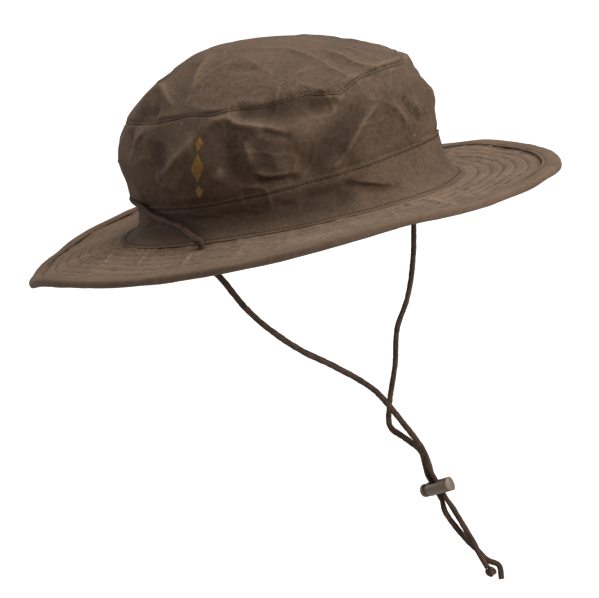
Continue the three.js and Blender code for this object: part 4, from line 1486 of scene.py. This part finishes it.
@dataclass
class Embroidery:
    """A plain column of three satin-stitched lozenges on the crown's right side."""

    cloth: CrownCloth
    top: tuple[float, float] = (277.6, 0.7)
    foot: tuple[float, float] = (272.4, 0.12)
    pitch: float = 0.0005
    thread: float = 0.00062
    least_half: float = 0.00025
    lift: float = 0.0001
    lozenges: tuple[Point, ...] = (
        (0.0132, 0.003, 0.0036),
        (0.0, 0.005, 0.0078),
        (-0.0132, 0.003, 0.0036),
    )

    def build(self, trees: StitchTrees, thread: Material) -> Piece:
        """Lays each lozenge's threads on the folded cloth.

        Args:
            trees: the stitch trees.
            thread: the thread's material.

        Returns:
            The embroidery's object.
        """
        form = self.cloth.form
        middle = math.radians((self.top[0] + self.foot[0]) / 2)
        middle_up = (self.top[1] + self.foot[1]) / 2
        lean = math.radians(self.top[0] - self.foot[0]) / (self.top[1] - self.foot[1])
        height = float(form.side_height(np.array(middle)))
        turn = float(np.linalg.norm(form.skin(middle + 0.01, 0.4) - form.skin(middle, 0.4))) / 0.01
        points, directions, reaches = [], [], []
        for centre, half_width, half_height in self.lozenges:
            count = int(2 * half_height / self.pitch)
            for k in range(count + 1):
                along = -half_height + k * self.pitch
                half = half_width * (1 - abs(along) / half_height) + self.least_half
                up = middle_up + (centre + along) / height
                angle = middle + lean * (up - middle_up)
                ends = np.array([angle - half / turn, angle + half / turn])
                a, b = self.cloth.surface(ends, np.full(2, up), np.full(2, -self.lift))
                points.append((a + b) / 2)
                directions.append((b - a) / np.linalg.norm(b - a))
                reaches.append(float(np.linalg.norm(b - a)))
        mesh = new_mesh("embroidery", [list(p) for p in points], [])
        add_layer(mesh, "direction", directions)
        add_layer(mesh, "reach", reaches)
        sizes = {"Thickness": self.thread, "Seed": 6}
        return sew("embroidery_lozenges", mesh, trees.satin, thread, sizes)


@dataclass
class ChinCord:
    """The leather chin cord: its three lengths and the knot on the right tail."""

    form: HatForm
    diameter: float = 0.0033
    sides: int = 14
    step: float = 0.0011
    join: float = -0.0088
    nap: float = 1.07
    worn_nap: float = 1.17
    gripped: float = 0.88
    fine_rough: float = 0.09
    slow_rough: float = 0.07
    squareness: float = 0.045
    knot_strand: float = 0.00125
    knot_width: float = 0.0058
    knot_length: float = 0.006

    def hole_point(self, side: int, height: float) -> Array:
        """The middle of a brim hole at a height, on the right for -1 and the left for 1."""
        x, y = self.form.plan(side * math.radians(self.form.hole_degrees), self.form.hole_out)
        return np.array([x, y, height], float)

    def straight_start(self, side: int) -> list[Array]:
        """The first points of a length that hangs straight down from a hole."""
        gap = self.form.play / 2
        return [self.hole_point(side, z) for z in (self.join - gap, self.join - self.diameter)]

    def routes(self, lock: CordLock) -> dict[str, Array]:
        """The three lengths' middle lines, by the name of the CAD node that each replaces."""
        gap = self.form.play / 2
        heights = (self.join + gap, -self.form.brim_thick, self.diameter / 2)
        crown, near, near_tail, far, far_tail = (
            np.array(table) * MM
            for table in (CORD_ROUND_CROWN, CORD_RIGHT, CORD_RIGHT_TAIL, CORD_LEFT, CORD_LEFT_TAIL)
        )
        up = [self.hole_point(-1, z) for z in heights]
        down = [self.hole_point(1, z) for z in heights[::-1]]
        lines = {
            "chin_cord_round_crown": [*up, *crown, *down],
            "chin_cord_right": [*self.straight_start(-1), *near, *lock.ways(1), *near_tail],
            "chin_cord_left": [*self.straight_start(1), *far, *lock.ways(-1), *far_tail],
        }
        return {name: smooth_route(np.array(line), self.step) for name, line in lines.items()}

    def tube(self, name: str, route: Array, radius: Array, seed: int, cut: bool) -> Piece:
        """A closed tube of uneven leather along a route.

        Args:
            name: the piece's name.
            route: the middle line.
            radius: the radius at each point of the route.
            seed: picks the leather's unevenness.
            cut: whether the far end shows the pale cut leather.

        Returns:
            The tube's object.
        """
        tangent = np.gradient(route, axis=0)
        tangent /= np.linalg.norm(tangent, axis=1, keepdims=True)
        side = np.zeros_like(route)
        first = np.cross(tangent[0], [0.3, 1, 0.2])
        side[0] = first / np.linalg.norm(first)
        for k in range(1, len(route)):
            moved = side[k - 1] - tangent[k] * (side[k - 1] @ tangent[k])
            side[k] = moved / np.linalg.norm(moved)
        other = np.cross(tangent, side)
        turn = turns(self.sides)
        square = 1 + self.squareness * np.cos(4 * turn)
        ring = side[:, None] * np.cos(turn)[None, :, None]
        ring = ring + other[:, None] * np.sin(turn)[None, :, None]
        skin = route[:, None] + ring * radius.max()
        rough = smooth_noise(skin, 0.0016, seed) * self.fine_rough
        rough += smooth_noise(skin, 0.006, seed + 1) * self.slow_rough
        places = route[:, None] + ring * (radius[:, None] * square * (1 + rough))[..., None]
        rings, count = places.shape[:2]
        points = np.concatenate([places.reshape(-1, 3), route[:1], route[-1:]])
        faces = []
        for k in range(rings - 1):
            for j in range(count):
                a, b = k * count + j, k * count + (j + 1) % count
                faces.append((a, b, b + count, a + count))
        for j in range(count):
            faces.append((rings * count, (j + 1) % count, j))
            last = (rings - 1) * count
            faces.append((rings * count + 1, last + j, last + (j + 1) % count))
        shown = np.zeros(len(points))
        if cut:
            shown[(rings - 1) * count : rings * count] = 0.6
            shown[-1] = 1
        mesh = new_mesh(name, points.tolist(), faces, smooth=True)
        add_layer(mesh, "cut", shown)
        return new_object(name, mesh)

    def build_length(self, node: str, route: Array, seed: int, bare: bool, lock: CordLock) -> Piece:
        """One length of the cord, in place of its CAD node, pressed thin where the lock grips it."""
        away = np.linalg.norm(route - np.array(lock.place), axis=1)
        pressed = smoothstep(2 * lock.barrel, lock.barrel, away)
        nap = self.worn_nap if node == "chin_cord_round_crown" else self.nap
        radius = self.diameter / 2 * (nap + (self.gripped - nap) * pressed)
        return self.tube(node + "_leather", route, radius, seed, bare)

    def build_knot(self, end: Array, along: Array) -> Piece:
        """An overhand knot in the right tail.

        Args:
            end: where the tail's middle line stops.
            along: the tail's direction there.

        Returns:
            The knot's object.
        """
        turn = np.linspace(0, 2 * np.pi, 90, endpoint=False)
        loop = np.stack(
            [
                np.sin(turn) + 2 * np.sin(2 * turn),
                np.cos(turn) - 2 * np.cos(2 * turn),
                -1.1 * np.sin(3 * turn),
            ],
            1,
        )
        loop *= np.array([self.knot_width, self.knot_width, self.knot_length * 2]) / 2 / 4.1
        loop = loop[:, [2, 0, 1]]
        axis = Vector(along).to_track_quat("X", "Z").to_matrix()
        middle = end + along * (self.knot_length / 2)
        route = loop @ np.array(axis).T + middle
        closed = np.concatenate([route, route[:2]])
        radius = np.full(len(closed), self.knot_strand)
        return self.tube("chin_cord_knot_leather", closed, radius, 61, False)


@dataclass
class CordLock:
    """The cord lock: a barrel open at one end and a sprung plunger in it."""

    place: Point = (0.0571, 0.0062, -0.1811)
    pitch_degrees: float = 12.5
    lean_degrees: float = 12.0
    cord: float = 0.0033
    play: float = 0.0003
    barrel: float = 0.0085
    barrel_length: float = 0.0175
    barrel_end: float = 0.0016
    ridge: float = 0.0013
    lip: float = 0.0004
    bore: float = 0.0062
    slot_place: float = 0.0063
    slot_play: float = 0.0003
    head: float = 0.008
    head_length: float = 0.0026
    head_round: float = 0.001
    travel: float = 0.0017
    lead: float = 0.0045
    soft_edge: float = 0.00018
    edge_degrees: float = 35.0
    smooth_degrees: float = 40.0
    sides: int = 64

    @property
    def matrix(self) -> Matrix:
        """The lock's frame: X along the barrel to its closed end, cords down its Z."""
        lean = Matrix.Rotation(math.radians(self.lean_degrees), 4, "X")
        pitch = Matrix.Rotation(-math.radians(self.pitch_degrees), 4, "Y")
        return Matrix.Translation(self.place) @ pitch @ lean

    @property
    def slot_half(self) -> float:
        """Half the length of a slot that takes both cords."""
        return (2 * self.cord + self.play) / 2 + self.slot_play

    def ways(self, side: int) -> list[Array]:
        """A cord's straight way through the lock, 1 by the closed end and -1 by the head."""
        along = side * (self.cord + self.play) / 2
        far = self.barrel / 2 + self.lead
        near = (self.barrel + self.cord) / 2
        return [
            np.array(self.matrix @ Vector((along, 0, height)))
            for height in (far, near, -near, -far)
        ]

    def turned(self, name: str, profile: list[tuple[float, float]]) -> Piece:
        """A closed body turned about X, from (radius, place along X), first and last on the axis."""
        turn = turns(self.sides)
        points = [(profile[0][1], 0.0, 0.0), (profile[-1][1], 0.0, 0.0)]
        for radius, along in profile[1:-1]:
            points += [(along, radius * math.cos(t), radius * math.sin(t)) for t in turn]
        faces = []
        rings = len(profile) - 2
        for j in range(self.sides):
            k = (j + 1) % self.sides
            faces.append((0, 2 + k, 2 + j))
            last = 2 + (rings - 1) * self.sides
            faces.append((1, last + j, last + k))
            for ring in range(rings - 1):
                a = 2 + ring * self.sides
                faces.append((a + j, a + k, a + self.sides + k, a + self.sides + j))
        return new_object(name, new_mesh(name, points, faces))

    def slot(self, start: float, end: float) -> Piece:
        """The cutter of a slot with round ends, from one place along X to another."""
        radius = self.cord / 2 + self.slot_play
        outline = []
        for centre, first in ((end - radius, -math.pi / 2), (start + radius, math.pi / 2)):
            for k in range(33):
                t = first + math.pi * k / 32
                outline.append((centre + radius * math.cos(t), radius * math.sin(t)))
        return self.prism("slot", outline)

    def prism(self, name: str, outline: list[tuple[float, float]]) -> Piece:
        """A prism along Z across the whole barrel, from an outline given anticlockwise."""
        points = [(x, y, z) for z in (-self.barrel, self.barrel) for x, y in outline]
        count = len(outline)
        faces = [tuple(range(count))[::-1], tuple(range(count, 2 * count))]
        for k in range(count):
            j = (k + 1) % count
            faces.append((k, j, j + count, k + count))
        return new_object(name, new_mesh(name, points, faces))

    def carve(self, body: Piece, tools: list[tuple[Piece, str]]) -> Piece:
        """Cuts a body with each tool, softens its edges and puts it in its place."""
        for tool, operation in tools:
            cut_with(body, tool, operation, "EXACT")
        bevel = body.modifiers.new("Soft edges", "BEVEL")
        bevel.width = self.soft_edge
        bevel.segments = 2
        bevel.limit_method = "ANGLE"
        bevel.angle_limit = math.radians(self.edge_degrees)
        mesh = evaluated_mesh(body)
        mesh.transform(self.matrix)
        name = body.name
        for old in (body, *(tool for tool, _ in tools)):
            bpy.data.objects.remove(old)
        made = new_object(name, mesh)
        mesh.name = made.name = name
        with bpy.context.temp_override(
            object=made, active_object=made, selected_editable_objects=[made]
        ):
            bpy.ops.object.shade_smooth_by_angle(angle=math.radians(self.smooth_degrees))
        return made

    def build_barrel(self) -> Piece:
        """The barrel, open at its mouth, with two slopes on its closed end."""
        mouth = -self.slot_place
        end = mouth + self.barrel_length
        body = self.turned(
            "cord_lock_barrel_moulding",
            [
                (0, end - self.barrel_end),
                (self.bore / 2, end - self.barrel_end),
                (self.bore / 2, mouth),
                (self.barrel / 2 - self.lip, mouth),
                (self.barrel / 2, mouth + self.lip),
                (self.barrel / 2, end),
                (0, end),
            ],
        )
        eaves = end - 2 * self.ridge
        wide = self.barrel
        back = mouth - wide
        outline = [(back, -wide), (eaves, -wide), (end, 0), (eaves, wide), (back, wide)]
        roof = self.prism("roof", outline)
        slot = self.slot(-self.slot_half, self.slot_half)
        return self.carve(body, [(roof, "INTERSECT"), (slot, "DIFFERENCE")])

    def build_plunger(self) -> Piece:
        """The plunger at rest, its slot held against the cords by the spring."""
        stem = self.bore / 2 - self.play
        shoulder = -self.slot_place - self.travel - self.play
        head = shoulder - self.head_length
        tip = -self.slot_place + self.barrel_length - self.barrel_end - self.travel - self.play
        soft = self.head_round
        body = self.turned(
            "cord_lock_plunger_moulding",
            [
                (0, head),
                (self.head / 2 - soft, head),
                (self.head / 2 - 0.3 * soft, head + 0.3 * soft),
                (self.head / 2, head + soft),
                (self.head / 2, shoulder),
                (stem, shoulder),
                (stem, tip),
                (0, tip),
            ],
        )
        slot = self.slot(-self.slot_half - self.travel, self.slot_half)
        return self.carve(body, [(slot, "DIFFERENCE")])


@dataclass
class Studio:
    """The plain pale floor, the soft lights and the camera at the photograph's angle."""

    azimuth: float = 40.0
    elevation: float = 10.0
    roll: float = 12.5
    distance: float = 1.337
    lens: float = 135.0
    sensor: float = 36.0
    image_width: int = 599
    image_height: int = 598
    origin_pixel: tuple[float, float] = (292.0, 203.0)
    floor_height: float = -0.9
    floor_reach: float = 3.4
    floor_curve: float = 1.6
    wall_height: float = 6.0
    sky: float = 0.17

    def build_camera(self) -> None:
        """Places the camera so that the hat's origin falls on its pixel of the photograph."""
        a, r = math.radians(self.azimuth), math.radians(self.roll)
        back = direction(self.azimuth, self.elevation)
        level = Vector((math.cos(a), math.sin(a), 0))
        upright = back.cross(level)
        right = math.cos(r) * level - math.sin(r) * upright
        up = math.sin(r) * level + math.cos(r) * upright
        scale = self.distance / (self.lens / self.sensor * self.image_width)
        aside = -(self.origin_pixel[0] - self.image_width / 2) * scale
        above = (self.origin_pixel[1] - self.image_height / 2) * scale
        data = bpy.data.cameras.new("Camera")
        data.lens = self.lens
        data.sensor_width = self.sensor
        data.clip_start = 0.05
        camera = new_object("Camera", data)
        turn = Matrix((right, up, back)).transposed().to_4x4()
        place = right * aside + up * above + back * self.distance
        camera.matrix_world = Matrix.Translation(place) @ turn
        bpy.context.scene.camera = camera

    def build_floor(self) -> None:
        """A pale floor that curves up into a wall all round."""
        reach, curve = self.floor_reach, self.floor_curve
        profile = [(0.0, 0.0), (1.5, 0.0), (reach, 0.0)]
        for k in range(1, 13):
            t = math.pi / 2 * k / 12
            profile.append((reach + curve * math.sin(t), curve - curve * math.cos(t)))
        profile.append((reach + curve, self.wall_height))
        count = 96
        points = [(0.0, 0.0, self.floor_height)]
        for radius, height in profile[1:]:
            level = height + self.floor_height
            for t in turns(count):
                points.append((radius * math.cos(t), radius * math.sin(t), level))
        faces = [(0, 1 + k, 1 + (k + 1) % count) for k in range(count)]
        for ring in range(len(profile) - 2):
            first = 1 + ring * count
            for k in range(count):
                a, b = first + k, first + (k + 1) % count
                faces.append((a, a + count, b + count, b))
        mesh = new_mesh("studio_floor", points, faces, smooth=True)
        floor = new_object("studio_floor", mesh)
        material, tree, shader = new_material("Pale studio floor")
        seen = add_node(tree, "ShaderNodeLightPath").outputs["Is Camera Ray"]
        inputs = {
            "Base Color": (0.8, 0.8, 0.8, 1),
            "Roughness": 0.9,
            "Emission Color": (1, 1, 1, 1),
            "Emission Strength": seen,
        }
        set_inputs(tree, shader, inputs)
        mesh.materials.append(material)

    def build_lights(self) -> None:
        """Soft boxes: one large overhead, one at each side, and a weak one by the camera."""
        boxes = (
            ("overhead", (150.0, 74.0), 1.6, 1.3, 21.2),
            ("right_hand", (96.0, 16.0), 1.8, 0.9, 27.0),
            ("left_hand", (-66.0, 24.0), 1.8, 0.9, 8.0),
            ("front", (30.0, 24.0), 2.0, 0.9, 3.3),
        )
        for name, (azimuth, elevation), distance, size, power in boxes:
            back = direction(azimuth, elevation)
            data = bpy.data.lights.new("light_" + name, "AREA")
            data.shape = "DISK"
            data.size = size
            data.energy = power
            light = new_object("light_" + name, data)
            light.location = back * distance
            light.rotation_euler = back.to_track_quat("Z", "Y").to_euler()
        world = bpy.data.worlds.new("Studio")
        world.use_nodes = True
        sky = world.node_tree.nodes["Background"]
        sky.inputs[0].default_value = (1, 1, 1, 1)
        sky.inputs[1].default_value = self.sky
        bpy.context.scene.world = world
        bpy.context.scene.view_settings.view_transform = "Standard"


def dress(piece: Piece, body: str, slot: str, material: Material, *nodes: str) -> Piece:
    """Gives a piece its material and ties it to the frame.

    Args:
        piece: the finished object.
        body: the CAD body that it rides on.
        slot: the record's material slot; not used.
        material: its finish.
        nodes: CAD nodes that it replaces.

    Returns:
        The same object.
    """
    piece.data.materials.clear()
    piece.data.materials.append(material)
    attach(piece, body)
    if nodes:
        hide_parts(*nodes)
    LOG.info("%s: %d faces", piece.name, len(piece.data.polygons))
    return piece


def main() -> None:
    """Builds the hat: camera and cords first, then the cloth, its stitching and the studio."""
    logging.basicConfig(level=logging.INFO, format="%(message)s")
    studio = Studio()
    studio.build_camera()
    effects = ShaderEffects()
    form = HatForm()
    leather = RoughLeather().build(effects)
    plastic = LockPlastic().build(effects)

    lock = CordLock()
    barrel = dress(lock.build_barrel(), "hat", "lock_plastic", plastic, "cord_lock_barrel")
    plunger = dress(lock.build_plunger(), "lock_plunger", "lock_plastic", plastic, "cord_lock_plunger")
    cord = ChinCord(form)
    routes = cord.routes(lock)
    for seed, (node, route) in enumerate(routes.items()):
        bare = node == "chin_cord_left"
        piece = cord.build_length(node, route, 40 + 3 * seed, bare, lock)
        dress(piece, "hat", "cord_leather", leather, node)
    tail = routes["chin_cord_right"]
    along = tail[-1] - tail[-2]
    knot = cord.build_knot(tail[-1], along / np.linalg.norm(along))
    dress(knot, "hat", "cord_leather", leather, "chin_cord_knot")

    cloth = CrownCloth(form)
    crown = Crown(cloth)
    brim = Brim(form)
    crown_cotton = WaxedCotton("Waxed cotton, crown").build(effects)
    # The brim's copy of the cloth is painted lighter for the light on its upturned face, with a
    # stronger painted highlight on its creases.
    pale = {"middle": srgb(109, 88, 71), "deep": srgb(90, 72, 57), "rubbed_and_highlit": srgb(148, 124, 103)}
    brim_cotton = WaxedCotton("Waxed cotton, brim", **pale, raised=0.3).build(effects)
    edge = {"middle": srgb(104, 84, 67), "deep": srgb(86, 69, 55)}
    edge_cotton = WaxedCotton("Waxed cotton, binding", **edge).build(effects)
    dress(crown.build_side(), "hat", "crown_cloth", crown_cotton, "crown_side")
    dress(crown.build_top(), "hat", "crown_cloth", crown_cotton, "crown_top")
    dress(crown.build_band(), "hat", "crown_cloth", crown_cotton, "crown_band")
    dress(brim.build_sheet(), "hat", "brim_cloth", brim_cotton, "brim")
    dress(brim.build_binding(), "hat", "binding_cloth", edge_cotton, "brim_binding")

    trees = StitchTrees()
    dark = SewingThread("Dark sewing thread", srgb(46, 33, 24), srgb(70, 52, 38)).build(effects)
    gold = SewingThread("Gold-brown thread", srgb(132, 96, 46), srgb(172, 130, 70), 0.4).build(effects)
    for piece in crown.build_stitches(trees, dark):
        dress(piece, "hat", "crown_cloth", dark)
    for piece in brim.build_stitches(trees, dark):
        dress(piece, "hat", "brim_cloth", dark)
    dress(Embroidery(cloth).build(trees, gold), "hat", "crown_cloth", gold)

    studio.build_floor()
    studio.build_lights()


if __name__ == "__main__":
    main()
